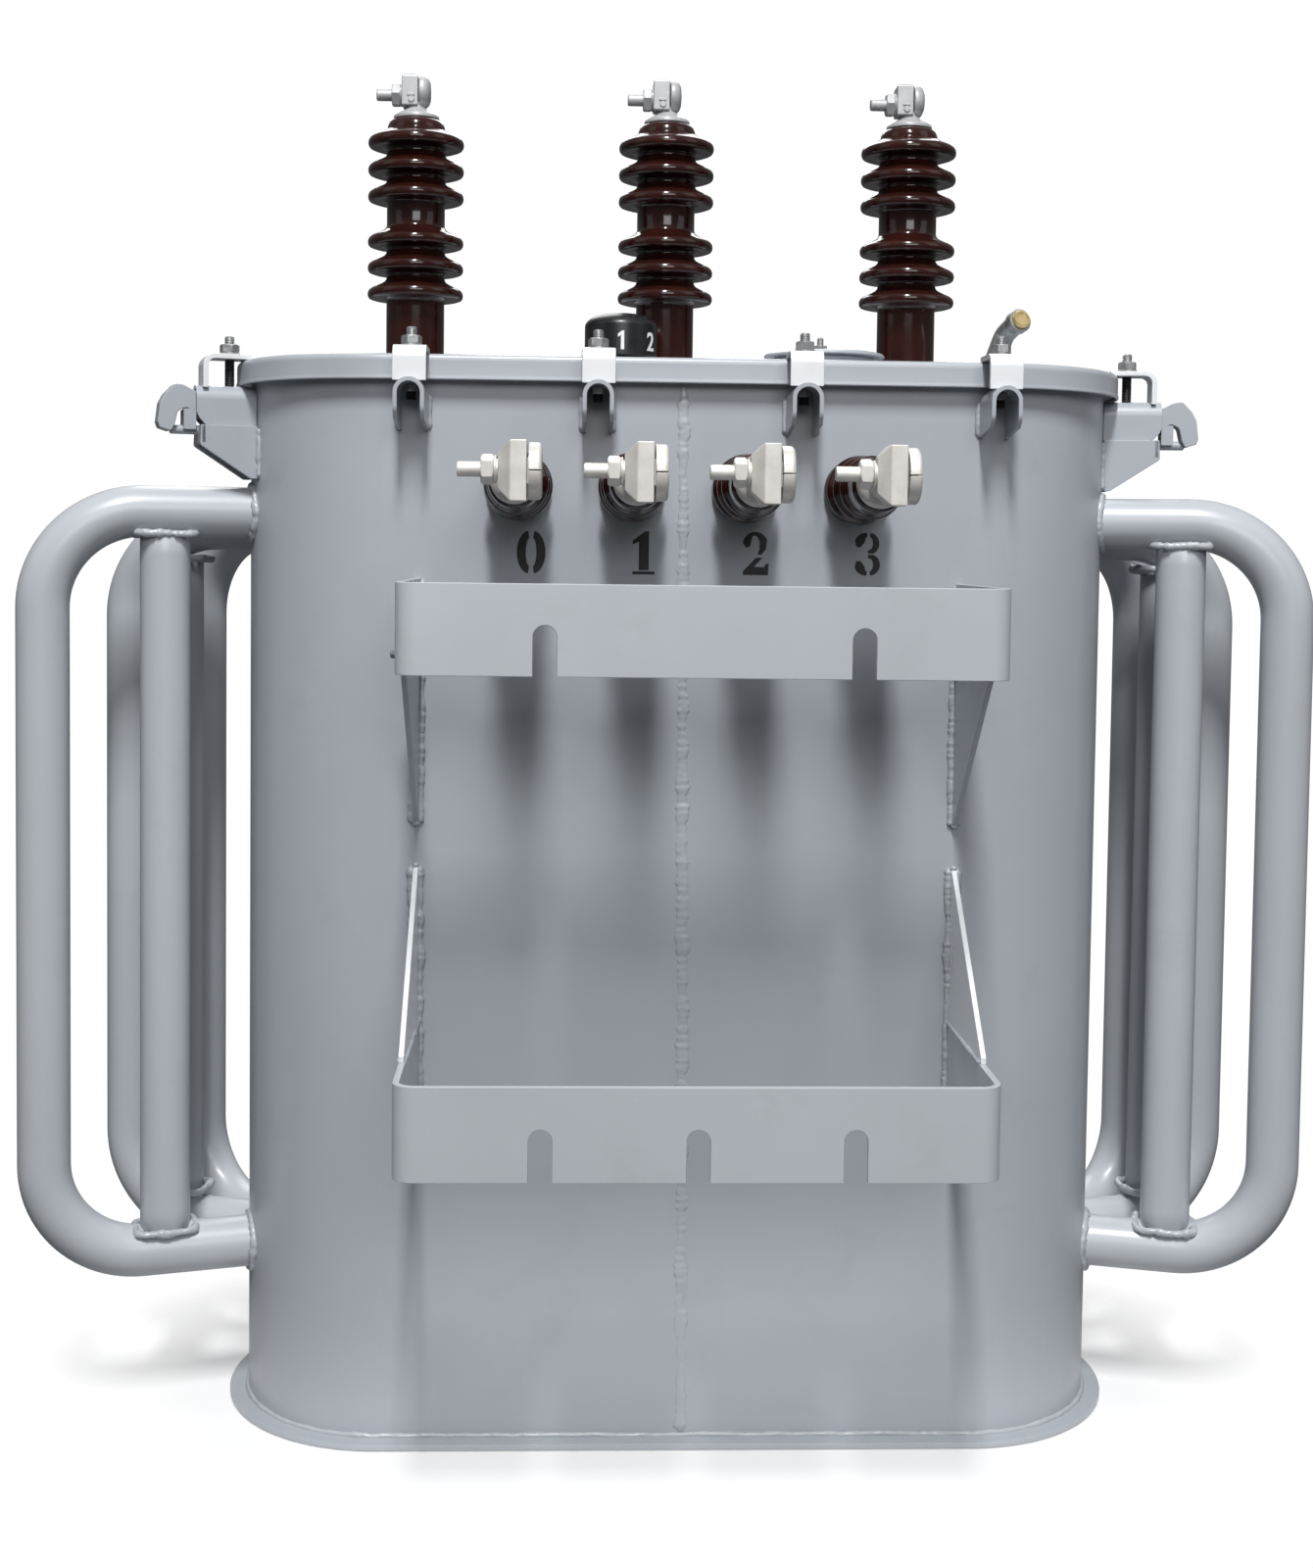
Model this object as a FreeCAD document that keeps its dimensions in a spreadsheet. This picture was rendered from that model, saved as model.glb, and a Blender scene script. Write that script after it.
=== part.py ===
import FreeCAD, Part
import os
import math
import Sketcher

V = FreeCAD.Vector
doc = FreeCAD.newDocument("power_transformer")

# ---------------------------------------------------------------- dimensions
# Millimetres. Origin: middle of the base plate's underside. +X right, -Y front, +Z up.
sheet = doc.addObject("Spreadsheet::Sheet", "Dims")
CELLS = [
    ("tank_half", 287.0), ("tank_rad", 146.0), ("tank_wall", 4.0), ("fill_rad", 120.0), ("fill_top", 985.0), ("end_left_x", -424.195), ("end_left_y", -49.935), ("end_left_turn", -70.0),
    ("end_right_x", 431.579), ("end_right_y", -20.319), ("end_right_turn", 82.0),
    ("tank_top", 1032.0),
    ("base_over", 19.0), ("base_thick", 6.0),
    ("rim_over", 10.0), ("rim_thick", 6.0), ("gasket_thick", 5.0),
    ("lid_over", 15.0), ("lid_top", 1047.5), ("lid_low", 1023.0), ("lid_skirt", 3.5), ("lid_plate", 4.0),
    ("hv_left", -269.5), ("hv_mid", -16.0), ("hv_right", 231.5), ("hv_hole", 28.4),
    ("hv_shank", 27.8), ("hv_core", 29.2), ("hv_shed", 48.2),
    ("hv_s1", 76.5), ("hv_s2", 102.7), ("hv_s3", 128.9), ("hv_s4", 174.1), ("hv_s5", 200.9), ("hv_s6", 228.0),
    ("hv_top", 249.5), ("hv_ring", 35.5), ("hv_ring_high", 8.0),
    ("lv_z", 924.3), ("lv_pitch", 106.9), ("lv_first", -158.7), ("lv_hole", 21.0), ("lv_shank", 19.5),
    ("lv_flange", 31.0), ("lv_shed", 32.5), ("lv_core", 24.0), ("lv_long", 148.0),
    ("lv_head_wide", 30.0), ("lv_head_high", 52.0), ("lv_head_deep", 40.0), ("lv_head_y", 150.0),
    ("stud_rad", 6.0), ("lv_stud_long", 22.0),
    ("dial_x", -62.3), ("dial_y", -80.0), ("dial_rad", 35.3), ("dial_low", 1053.0), ("spindle_rad", 8.0), ("dial_top", 1096.0),
    ("hole_x", 143.0), ("hole_y", -40.0), ("neck_rad", 50.0), ("cover_rad", 60.3), ("cover_low", 1059.5), ("cover_thick", 6.0),
    ("valve_x", 312.0), ("valve_y", -42.0), ("valve_rad", 10.6),
    ("arm_half", 260.5), ("arm_face", -376.0), ("arm_x", 4.5), ("arm_thick", 6.0), ("arm_round", 18.0),
    ("up_low", 759.0), ("up_high", 837.0), ("low_low", 330.0), ("low_high", 412.5),
    ("slot_rad", 10.2), ("slot_pitch", 134.2), ("slot_up", 802.2), ("slot_low", 375.9),
    ("up_apex", 602.5), ("low_apex", 564.0), ("gusset_thick", 5.0), ("gusset_run", 154.0),
    ("tube_rad", 25.4), ("riser_rad", 24.0), ("rise_front", 2.0), ("rise_mid", 9.0), ("tube_wall", 2.0), ("bend_rad", 95.0), ("tube_high", 898.0), ("tube_low", 161.0),
    ("lf_out", 346.0), ("lf_in", 230.0), ("lm_out", 293.0), ("lm_in", 238.0), ("lr_out", 291.5),
    ("rf_out", 329.0), ("rf_in", 225.5), ("rm_out", 299.0), ("rm_in", 244.0), ("rr_out", 300.0),
    ("fan_front", 15.4), ("fan_mid", 14.0), ("fan_rear_left", 38.0), ("fan_rear_right", 36.0),
    ("mid_high", 886.0), ("mid_low", 150.0), ("rear_high", 886.0), ("rear_low", 130.0),
    ("clamp_a", -259.0), ("clamp_b", -85.2), ("clamp_c", 108.3), ("clamp_d", 293.2),
    ("strap_wide", 31.0), ("strap_thick", 5.0), ("strap_low", 1019.0), ("strap_out", 52.0),
    ("lug_wide", 29.0), ("lug_plate", 4.0), ("lug_top", 1022.0), ("lug_deep", 58.0), ("lug_front", 995.0), ("lug_back", 983.0),
    ("bolt_rad", 5.0), ("bolt_y", 24.0), ("nut_rad", 9.8), ("nut_high", 8.0),
    ("hook_half", 11.0), ("cheek_gap", 15.0), ("cheek_thick", 6.0),
]
for i, (name, value) in enumerate(CELLS):
    row = i + 1
    sheet.set("A%d" % row, name)
    sheet.set("B%d" % row, str(value))
    sheet.setAlias("B%d" % row, name)
doc.recompute()
D = dict(CELLS)


def q(text):
    """Expression text with every alias written as Dims.alias."""
    out = ""
    word = ""
    for ch in str(text) + " ":
        if ch.isalnum() or ch == "_":
            word += ch
        else:
            out += ("Dims." + word) if word in D else word
            word = ""
            out += ch
    return out.strip()


def val(text):
    """Number an expression gives, so a sketch starts at its solved shape."""
    if isinstance(text, (int, float)):
        return float(text)
    total = 0.0
    sign = 1.0
    for tok in str(text).replace("-", " - ").replace("+", " + ").split():
        if tok == "+":
            sign = 1.0
        elif tok == "-":
            sign = -sign
        else:
            prod = 1.0
            for k, f in enumerate(tok.split("*")):
                prod *= D[f] if f in D else float(f)
            total += sign * prod
            sign = 1.0
    return total


def bind(obj, prop, expr):
    if isinstance(expr, (int, float)):
        return
    obj.setExpression(prop, q(expr))


def place(obj, x=0, y=0, z=0, rot=None):
    obj.Placement = FreeCAD.Placement(V(val(x), val(y), val(z)), rot or FreeCAD.Rotation())
    bind(obj, "Placement.Base.x", x)
    bind(obj, "Placement.Base.y", y)
    bind(obj, "Placement.Base.z", z)


RX = FreeCAD.Rotation(V(1, 0, 0), 90)    # local Z to -Y
RY = FreeCAD.Rotation(V(0, 1, 0), 90)    # local Z to +X
RYN = FreeCAD.Rotation(V(0, 1, 0), -90)  # local Z to -X


def cyl(label, r, h, x=0, y=0, z=0, rot=None):
    o = doc.addObject("Part::Cylinder", label)
    o.Radius, o.Height = val(r), val(h)
    bind(o, "Radius", r)
    bind(o, "Height", h)
    place(o, x, y, z, rot)
    return o


def box(label, lx, ly, lz, x=0, y=0, z=0):
    o = doc.addObject("Part::Box", label)
    o.Length, o.Width, o.Height = val(lx), val(ly), val(lz)
    bind(o, "Length", lx)
    bind(o, "Width", ly)
    bind(o, "Height", lz)
    place(o, x, y, z)
    return o


def hexa(label, r, h, x=0, y=0, z=0, rot=None):
    o = doc.addObject("Part::Prism", label)
    o.Polygon = 6
    o.Circumradius, o.Height = val(r), val(h)
    bind(o, "Circumradius", r)
    bind(o, "Height", h)
    place(o, x, y, z, rot)
    return o


def fuse(label, objs):
    o = doc.addObject("Part::MultiFuse", label)
    o.Shapes = objs
    o.Refine = True
    return o


def cut(label, a, b):
    o = doc.addObject("Part::Cut", label)
    o.Base, o.Tool = a, b
    o.Refine = True
    return o


def group(label, objs):
    o = doc.addObject("Part::Compound", label)
    o.Links = objs
    return o


def body(label):
    return doc.addObject("PartDesign::Body", label)


def plane(b, role):
    for f in b.Origin.OriginFeatures:
        if getattr(f, "Role", "") == role:
            return f


def sketch(b, role, offset=0):
    s = b.newObject("Sketcher::SketchObject", b.Name + "_sk")
    s.AttachmentSupport = (plane(b, role), [""])
    s.MapMode = "FlatFace"
    if offset != 0:
        s.AttachmentOffset = FreeCAD.Placement(V(0, 0, val(offset)), FreeCAD.Rotation())
        bind(s, "AttachmentOffset.Base.z", offset)
    return s


def polygon(s, pts):
    """Closed outline, each corner held from the sketch's origin by two bound dimensions."""
    base = s.GeometryCount
    n = len(pts)
    num = [(val(a), val(b)) for a, b in pts]
    for i in range(n):
        p, r = num[i], num[(i + 1) % n]
        s.addGeometry(Part.LineSegment(V(p[0], p[1], 0), V(r[0], r[1], 0)), False)
    for i in range(n):
        s.addConstraint(Sketcher.Constraint("Coincident", base + i, 2, base + (i + 1) % n, 1))
    for i in range(n):
        for k, kind in ((0, "DistanceX"), (1, "DistanceY")):
            c = s.addConstraint(Sketcher.Constraint(kind, -1, 1, base + i, 1, num[i][k]))
            if not isinstance(pts[i][k], (int, float)):
                s.setExpression("Constraints[%d]" % c, q(pts[i][k]))


def circle(s, x, y, r):
    g = s.addGeometry(Part.Circle(V(val(x), val(y), 0), V(0, 0, 1), val(r)), False)
    for kind, e in (("DistanceX", x), ("DistanceY", y)):
        c = s.addConstraint(Sketcher.Constraint(kind, -1, 1, g, 3, val(e)))
        if not isinstance(e, (int, float)):
            s.setExpression("Constraints[%d]" % c, q(e))
    c = s.addConstraint(Sketcher.Constraint("Radius", g, val(r)))
    if not isinstance(r, (int, float)):
        s.setExpression("Constraints[%d]" % c, q(r))


def oblong(s, half, rad):
    """Stadium outline: two straight sides joined by two half circles."""
    a, r = val(half), val(rad)
    g = s.GeometryCount
    s.addGeometry(Part.ArcOfCircle(Part.Circle(V(a, 0, 0), V(0, 0, 1), r), -math.pi / 2, math.pi / 2), False)
    s.addGeometry(Part.ArcOfCircle(Part.Circle(V(-a, 0, 0), V(0, 0, 1), r), math.pi / 2, 3 * math.pi / 2), False)
    s.addGeometry(Part.LineSegment(V(-a, r, 0), V(a, r, 0)), False)
    s.addGeometry(Part.LineSegment(V(-a, -r, 0), V(a, -r, 0)), False)
    C = Sketcher.Constraint
    s.addConstraint(C("Tangent", g, 2, g + 2, 2))
    s.addConstraint(C("Tangent", g + 1, 1, g + 2, 1))
    s.addConstraint(C("Tangent", g + 1, 2, g + 3, 1))
    s.addConstraint(C("Tangent", g, 1, g + 3, 2))
    s.addConstraint(C("PointOnObject", g, 3, -1))
    s.addConstraint(C("PointOnObject", g + 1, 3, -1))
    for geo, sgn in ((g, ""), (g + 1, "-")):
        c = s.addConstraint(C("DistanceX", -1, 1, geo, 3, a if not sgn else -a))
        s.setExpression("Constraints[%d]" % c, sgn + "(" + q(half) + ")")
        c = s.addConstraint(C("Radius", geo, r))
        s.setExpression("Constraints[%d]" % c, q(rad))


def pad(b, s, length, midplane=False, back=False):
    p = b.newObject("PartDesign::Pad", b.Name + "_pad")
    p.Profile = s
    p.Length = val(length)
    bind(p, "Length", length)
    if midplane:
        p.Midplane = True
    p.Reversed = back
    b.Tip = p
    return p


def pocket(b, s, length=None, back=False, midplane=False):
    p = b.newObject("PartDesign::Pocket", b.Name + "_pocket")
    p.Profile = s
    if length is None:
        p.Type = 1
        p.Midplane = True
    else:
        p.Length = val(length)
        bind(p, "Length", length)
        p.Midplane = midplane
        p.Reversed = back
    b.Tip = p
    return p


def revolve(b, s):
    r = b.newObject("PartDesign::Revolution", b.Name + "_rev")
    r.Profile = s
    r.ReferenceAxis = (s, ["V_Axis"])
    r.Angle = 360
    b.Tip = r
    return r


def copies(label, master, spots):
    """One node made of several placed copies of the same piece."""
    links = []
    for i, (x, y, z, turn) in enumerate(spots):
        l = doc.addObject("App::Link", "%s_%d" % (label, i + 1))
        l.LinkedObject = master
        l.Placement = FreeCAD.Placement(V(val(x), val(y), val(z)), FreeCAD.Rotation(V(0, 0, 1), turn))
        bind(l, "Placement.Base.x", x)
        bind(l, "Placement.Base.y", y)
        bind(l, "Placement.Base.z", z)
        links.append(l)
    return group(label, links)


NODES = []


def node(obj, label):
    obj.Label = label
    NODES.append(obj)
    return obj


# ---------------------------------------------------------------- tank
b = body("tank_shell")
s = sketch(b, "XY_Plane", "base_thick")
oblong(s, "tank_half", "tank_rad")
oblong(s, "tank_half", "tank_rad-tank_wall")
pad(b, s, "tank_top-base_thick")
s = sketch(b, "XZ_Plane", "tank_rad+5")
for k in range(4):
    circle(s, "lv_first+%d*lv_pitch" % k if k else "lv_first", "lv_z", "lv_hole")
pocket(b, s, "tank_wall+20")
node(b, "tank_shell")

# Core, windings and oil, as one plain solid standing on the base plate.
b = body("core_and_oil_fill")
s = sketch(b, "XY_Plane", "base_thick")
oblong(s, "tank_half", "fill_rad")
pad(b, s, "fill_top-base_thick")
node(b, "core_and_oil_fill")

b = body("base_plate")
s = sketch(b, "XY_Plane")
oblong(s, "tank_half", "tank_rad+base_over")
pad(b, s, "base_thick")
node(b, "base_plate")

b = body("tank_rim")
s = sketch(b, "XY_Plane", "tank_top-rim_thick")
oblong(s, "tank_half", "tank_rad+rim_over")
oblong(s, "tank_half", "tank_rad")
pad(b, s, "rim_thick")
node(b, "tank_rim")

b = body("lid_gasket")
s = sketch(b, "XY_Plane", "tank_top")
oblong(s, "tank_half", "tank_rad+rim_over")
oblong(s, "tank_half", "tank_rad-tank_wall")
pad(b, s, "lid_top-lid_plate-tank_top")
node(b, "lid_gasket")

b = body("lid")
s = sketch(b, "XY_Plane", "lid_top-lid_plate")
oblong(s, "tank_half", "tank_rad+lid_over")
pad(b, s, "lid_plate")
s = sketch(b, "XY_Plane", "lid_low")
oblong(s, "tank_half", "tank_rad+lid_over")
oblong(s, "tank_half", "tank_rad+lid_over-lid_skirt")
pad(b, s, "lid_top-lid_low-1")
s = sketch(b, "XY_Plane", "lid_top+5")
circle(s, "hv_left", 0, "hv_hole")
circle(s, "hv_mid", 0, "hv_hole")
circle(s, "hv_right", 0, "hv_hole")
circle(s, "hole_x", "hole_y", "neck_rad-4")
circle(s, "valve_x", "valve_y", 8)
pocket(b, s, "lid_plate+20")
node(b, "lid")

# ---------------------------------------------------------------- high voltage bushings
def hv_profile():
    p = [(0, -50), ("hv_shank", -50), ("hv_shank", 0), ("hv_core", 0)]
    for i in range(1, 7):
        z = "hv_s%d" % i
        p += [("hv_core", z + "-4"), ("hv_core+6", z + "-4.5"), ("hv_shed-2", z + "-3.5"), ("hv_shed", z),
              ("hv_shed-1.5", z + "+3"), ("hv_core+7", z + "+7"), ("hv_core", z + "+11")]
    p += [("hv_core-2", "hv_top-12"), ("hv_core-8", "hv_top-3"), ("hv_core-12", "hv_top"), (0, "hv_top")]
    return p


for name, x in (("hv_porcelain_1", "hv_left"), ("hv_porcelain_2", "hv_mid"), ("hv_porcelain_3", "hv_right")):
    b = body(name)
    s = sketch(b, "XZ_Plane")
    polygon(s, hv_profile())
    revolve(b, s)
    place(b, x, 0, "lid_top")
    node(b, name)

b = body("hv_ring_piece")
s = sketch(b, "XZ_Plane")
polygon(s, [("hv_core+0.8", 0), ("hv_ring", 0), ("hv_ring", 5), ("hv_ring-1.5", "hv_ring_high"), ("hv_core+0.8", "hv_ring_high")])
revolve(b, s)
doc.recompute()
node(copies("hv_clamp_rings", b, [("hv_left", 0, "lid_top", 0), ("hv_mid", 0, "lid_top", 0), ("hv_right", 0, "lid_top", 0)]), "hv_clamp_rings")

cap = cyl("hv_cap", 23.0, 8.0, 0, 0, 0)
neck = cyl("hv_neck", 12.5, 14.0, 0, 0, 0)
block = box("hv_block", 14.0, 26.0, 34.0, -14.5, -13, 10.5)
bridge = box("hv_bridge", 4.0, 22.0, 9.0, -1, -11, 10.5)
b = body("hv_plate")
s = sketch(b, "YZ_Plane", 2.5)
polygon(s, [(-14, 10.5), (14, 10.5), (17, 18), (17, 34), (13, 41), (6, 44.5), (-6, 44.5), (-13, 41), (-17, 34), (-17, 18)])
pad(b, s, 11.0)
bridge2 = box("hv_bridge2", 4.0, 22.0, 8.0, -1, -11, 32)
piece = fuse("hv_head_f", [cap, neck, block, bridge, bridge2, b])
doc.recompute()
hx = [("hv_left", 0, "lid_top+hv_top", 0), ("hv_mid", 0, "lid_top+hv_top", 0), ("hv_right", 0, "lid_top+hv_top", 0)]
node(copies("hv_terminals", piece, hx), "hv_terminals")
stud = cyl("hv_stud", 6.0, 25.8, -14.5, 0, 24.5, RYN)
nut = hexa("hv_nut", 12.0, 10.0, -14.5, 0, 24.5, RYN)
piece = fuse("hv_stud_f", [stud, nut])
doc.recompute()
node(copies("hv_terminal_studs", piece, hx), "hv_terminal_studs")

# ---------------------------------------------------------------- low voltage bushings
def lv_profile():
    return [(0, -22), ("lv_shank", -22), ("lv_shank", 0), ("lv_flange", 0), ("lv_flange", 9), ("lv_flange-3", 13), ("lv_core", 18),
            ("lv_core", 29), ("lv_shed-2", 31), ("lv_shed", 34), ("lv_shed-1.5", 37), ("lv_core+2", 44), ("lv_core", 48),
            ("lv_core", 61), ("lv_shed-3.5", 63), ("lv_shed-1.5", 66), ("lv_shed-3", 69), ("lv_core+1", 76), ("lv_core", 80),
            ("lv_core", 95), ("lv_shed-5", 97), ("lv_shed-3", 100), ("lv_shed-4.5", 103), ("lv_core", 110), ("lv_core-1", 114),
            ("lv_core-1", "lv_long-6"), ("lv_core-4", "lv_long"), (0, "lv_long")]


lv_spots = []
for k in range(4):
    name = "lv_porcelain_%d" % k
    x = "lv_first+%d*lv_pitch" % k if k else "lv_first"
    b = body(name)
    s = sketch(b, "XZ_Plane")
    polygon(s, lv_profile())
    revolve(b, s)
    place(b, x, "-1*tank_rad", "lv_z", RX)
    node(b, name)
    lv_spots.append((x, "-1*tank_rad-lv_long", "lv_z", 0))

# Local frame: the porcelain's outer end is the plane y = 0 and the stem reaches out along -y.
ring = cyl("lv_ring", 21.0, 13.0, 0, 0, 1, RX)
stem = cyl("lv_stem", 10.0, 46.0, 0, 0, 3, RX)
b = body("lv_head_body")
s = sketch(b, "XZ_Plane", 38)
polygon(s, [(-3, -19), (12.2, -19), (12.2, 33), (-3, 33), (-12.5, 22), (-12.5, -8)])
pad(b, s, 34)
disc = cyl("lv_disc", 24.5, 10.4, 14.6, -50, 7, RY)
bridge = box("lv_bridge", 5.0, 24.0, 26.0, 11, -62, -6)
piece = fuse("lv_head", [ring, stem, b, disc, bridge])
doc.recompute()
node(copies("lv_terminals", piece, lv_spots), "lv_terminals")
stud = cyl("lv_stud", "stud_rad+0.5", "lv_stud_long+12.5", -12.5, -55, 8, RYN)
nut = hexa("lv_nut", 13.0, 11.0, -15.5, -55, 8, RYN)
wash = cyl("lv_wash", 12.0, 3.0, -12.5, -55, 8, RYN)
piece = fuse("lv_stud_f", [stud, nut, wash])
doc.recompute()
node(copies("lv_terminal_studs", piece, lv_spots), "lv_terminal_studs")

# ---------------------------------------------------------------- fittings on the lid
collar = cyl("tap_collar", 30.0, 4.0, "dial_x", "dial_y", "lid_top")
spindle = cyl("tap_spindle", "spindle_rad", "dial_low-lid_top+24", "dial_x", "dial_y", "lid_top")
node(fuse("tap_base", [collar, spindle]), "tap_changer_base")
b = body("tap_dial")
s = sketch(b, "XZ_Plane")
polygon(s, [("spindle_rad+0.06", 0), ("dial_rad", 0), ("dial_rad", "dial_top-dial_low-12"), ("dial_rad-6", "dial_top-dial_low-4"), ("dial_rad-16", "dial_top-dial_low"), (0, "dial_top-dial_low"),
            (0, 26), ("spindle_rad+0.06", 26)])
revolve(b, s)
place(b, "dial_x", "dial_y", "dial_low")
node(b, "tap_dial")

node(cut("handhole_neck", cyl("neck_o", "neck_rad", "cover_low-lid_top", "hole_x", "hole_y", "lid_top"),
         cyl("neck_i", "neck_rad-4", "cover_low-lid_top", "hole_x", "hole_y", "lid_top")), "handhole_neck")
cv = cyl("cover_disc", "cover_rad", "cover_thick", "hole_x", "hole_y", "cover_low")
node(cv, "handhole_cover")
cs = cyl("cover_stud", 3.5, 15.0, "hole_x-4", "hole_y", "cover_low+cover_thick")
cn = hexa("cover_nut", 7.5, 7.0, "hole_x-4", "hole_y", "cover_low+cover_thick")
node(fuse("cover_bolt", [cs, cn]), "handhole_bolt")

ax = V(14, -5, 44)
ax.normalize()
p1 = cyl("pipe_a", "valve_rad", 46.0, "valve_x", "valve_y", "lid_top", FreeCAD.Rotation(V(0, 0, 1), ax))
trim = box("pipe_trim", 80, 80, 20, "valve_x-40", "valve_y-40", "lid_top-20")
foot = cyl("pipe_foot", 15.0, 8.0, "valve_x", "valve_y", "lid_top")
top = V(val("valve_x"), val("valve_y"), val("lid_top")) + ax * 46
ball = doc.addObject("Part::Sphere", "pipe_ball")
ball.Radius = val("valve_rad")
bind(ball, "Radius", "valve_rad")
place(ball, "valve_x+%.4f" % (top.x - val("valve_x")), "valve_y-%.4f" % (val("valve_y") - top.y), "lid_top+%.4f" % (top.z - val("lid_top")))
out = V(0.30, -0.93, 0.25)
out.normalize()
p2 = cyl("pipe_b", "valve_rad", 26.0, "valve_x+%.4f" % (top.x - val("valve_x")), "valve_y-%.4f" % (val("valve_y") - top.y),
         "lid_top+%.4f" % (top.z - val("lid_top")), FreeCAD.Rotation(V(0, 0, 1), out))
m = top + out * 14
lip = cyl("pipe_lip", 12.2, 12.0, "valve_x+%.4f" % (m.x - val("valve_x")), "valve_y-%.4f" % (val("valve_y") - m.y),
          "lid_top+%.4f" % (m.z - val("lid_top")), FreeCAD.Rotation(V(0, 0, 1), out))
node(cut("valve_pipe", fuse("valve_pipe_f", [p1, foot, ball, p2, lip]), trim), "valve_elbow")
m = top + out * 26
face = cyl("valve_face", 9.4, 6.0, "valve_x+%.4f" % (m.x - val("valve_x")), "valve_y-%.4f" % (val("valve_y") - m.y),
           "lid_top+%.4f" % (m.z - val("lid_top")), FreeCAD.Rotation(V(0, 0, 1), out))
node(face, "relief_valve")

# ---------------------------------------------------------------- pole brackets
def bracket(name, low, high, slots, slot_top):
    b = body(name)
    s = sketch(b, "XY_Plane", low)
    L, R_ = "arm_x-arm_half", "arm_x+arm_half"
    polygon(s, [(L, "-1*tank_rad"), (L, "arm_face"), (R_, "arm_face"), (R_, "-1*tank_rad"),
                (R_ + "-arm_thick", "-1*tank_rad"), (R_ + "-arm_thick", "arm_face+arm_thick"),
                (L + "+arm_thick", "arm_face+arm_thick"), (L + "+arm_thick", "-1*tank_rad")])
    p = pad(b, s, high + "-" + low)
    doc.recompute()

    def corner(sh, x, y):
        for i, e in enumerate(sh.Edges):
            c = e.BoundBox
            if abs(c.XMin - x) < 0.01 and abs(c.XMax - x) < 0.01 and abs(c.YMin - y) < 0.01 and abs(c.YMax - y) < 0.01:
                return "Edge%d" % (i + 1)
    names = [corner(p.Shape, val(L), val("arm_face")), corner(p.Shape, val(R_), val("arm_face"))]
    f = b.newObject("PartDesign::Fillet", name + "_round")
    f.Base = (p, names)
    f.Radius = D["arm_round"]
    bind(f, "Radius", "arm_round")
    b.Tip = f
    doc.recompute()
    names = [corner(f.Shape, val(L + "+arm_thick"), val("arm_face+arm_thick")),
             corner(f.Shape, val(R_ + "-arm_thick"), val("arm_face+arm_thick"))]
    g = b.newObject("PartDesign::Fillet", name + "_round_in")
    g.Base = (f, names)
    g.Radius = val("arm_round-arm_thick")
    bind(g, "Radius", "arm_round-arm_thick")
    b.Tip = g
    s = sketch(b, "XZ_Plane", "-1*arm_face+10")
    for x in slots:
        circle(s, x, slot_top + "-slot_rad", "slot_rad")
    pocket(b, s, "arm_thick+20")
    s = sketch(b, "XZ_Plane", "-1*arm_face+10")
    for x in slots:
        polygon(s, [(x + "-slot_rad", low + "-5"), (x + "+slot_rad", low + "-5"), (x + "+slot_rad", slot_top + "-slot_rad"),
                    (x + "-slot_rad", slot_top + "-slot_rad")])
    pocket(b, s, "arm_thick+20")
    return b


node(bracket("upper_bracket", "up_low", "up_high", ["arm_x-slot_pitch", "arm_x+slot_pitch"], "slot_up"), "upper_bracket")
node(bracket("lower_bracket", "low_low", "low_high", ["arm_x-slot_pitch", "arm_x", "arm_x+slot_pitch"], "slot_low"), "lower_bracket")

for nm, pts in (("upper_gusset", [("-1*tank_rad", "up_low"), ("-1*tank_rad-gusset_run", "up_low"), ("-1*tank_rad", "up_apex")]),
                ("lower_gusset", [("-1*tank_rad", "low_high"), ("-1*tank_rad-gusset_run", "low_high"), ("-1*tank_rad-gusset_run", "low_high+6"),
                                  ("-1*tank_rad", "low_apex")])):
    two = []
    for side, off in (("l", "arm_x-arm_half"), ("r", "arm_x+arm_half-gusset_thick")):
        b = body(nm + "_" + side)
        s = sketch(b, "YZ_Plane", off)
        polygon(s, pts)
        pad(b, s, "gusset_thick")
        two.append(b)
    doc.recompute()
    node(group(nm + "s", two), nm + "s")

gb = hexa("ground_nut", 9.0, 8.0, "arm_x-arm_half", -235, 769, RYN)
gs = cyl("ground_stud", 4.0, 15.0, "arm_x-arm_half", -235, 769, RYN)
gw = cyl("ground_wash", 9.5, 2.0, "arm_x-arm_half", -235, 769, RYN)
node(fuse("ground_f", [gb, gs, gw]), "ground_bolt")

# ---------------------------------------------------------------- lid clamps
# Local frame: the tank wall is the plane y = 0 and the clamp reaches out along -y.
b = body("lug_piece")
s = sketch(b, "XZ_Plane")
w = val("lug_wide") / 2
rr = w
top_c = val("lug_top") - rr


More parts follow.
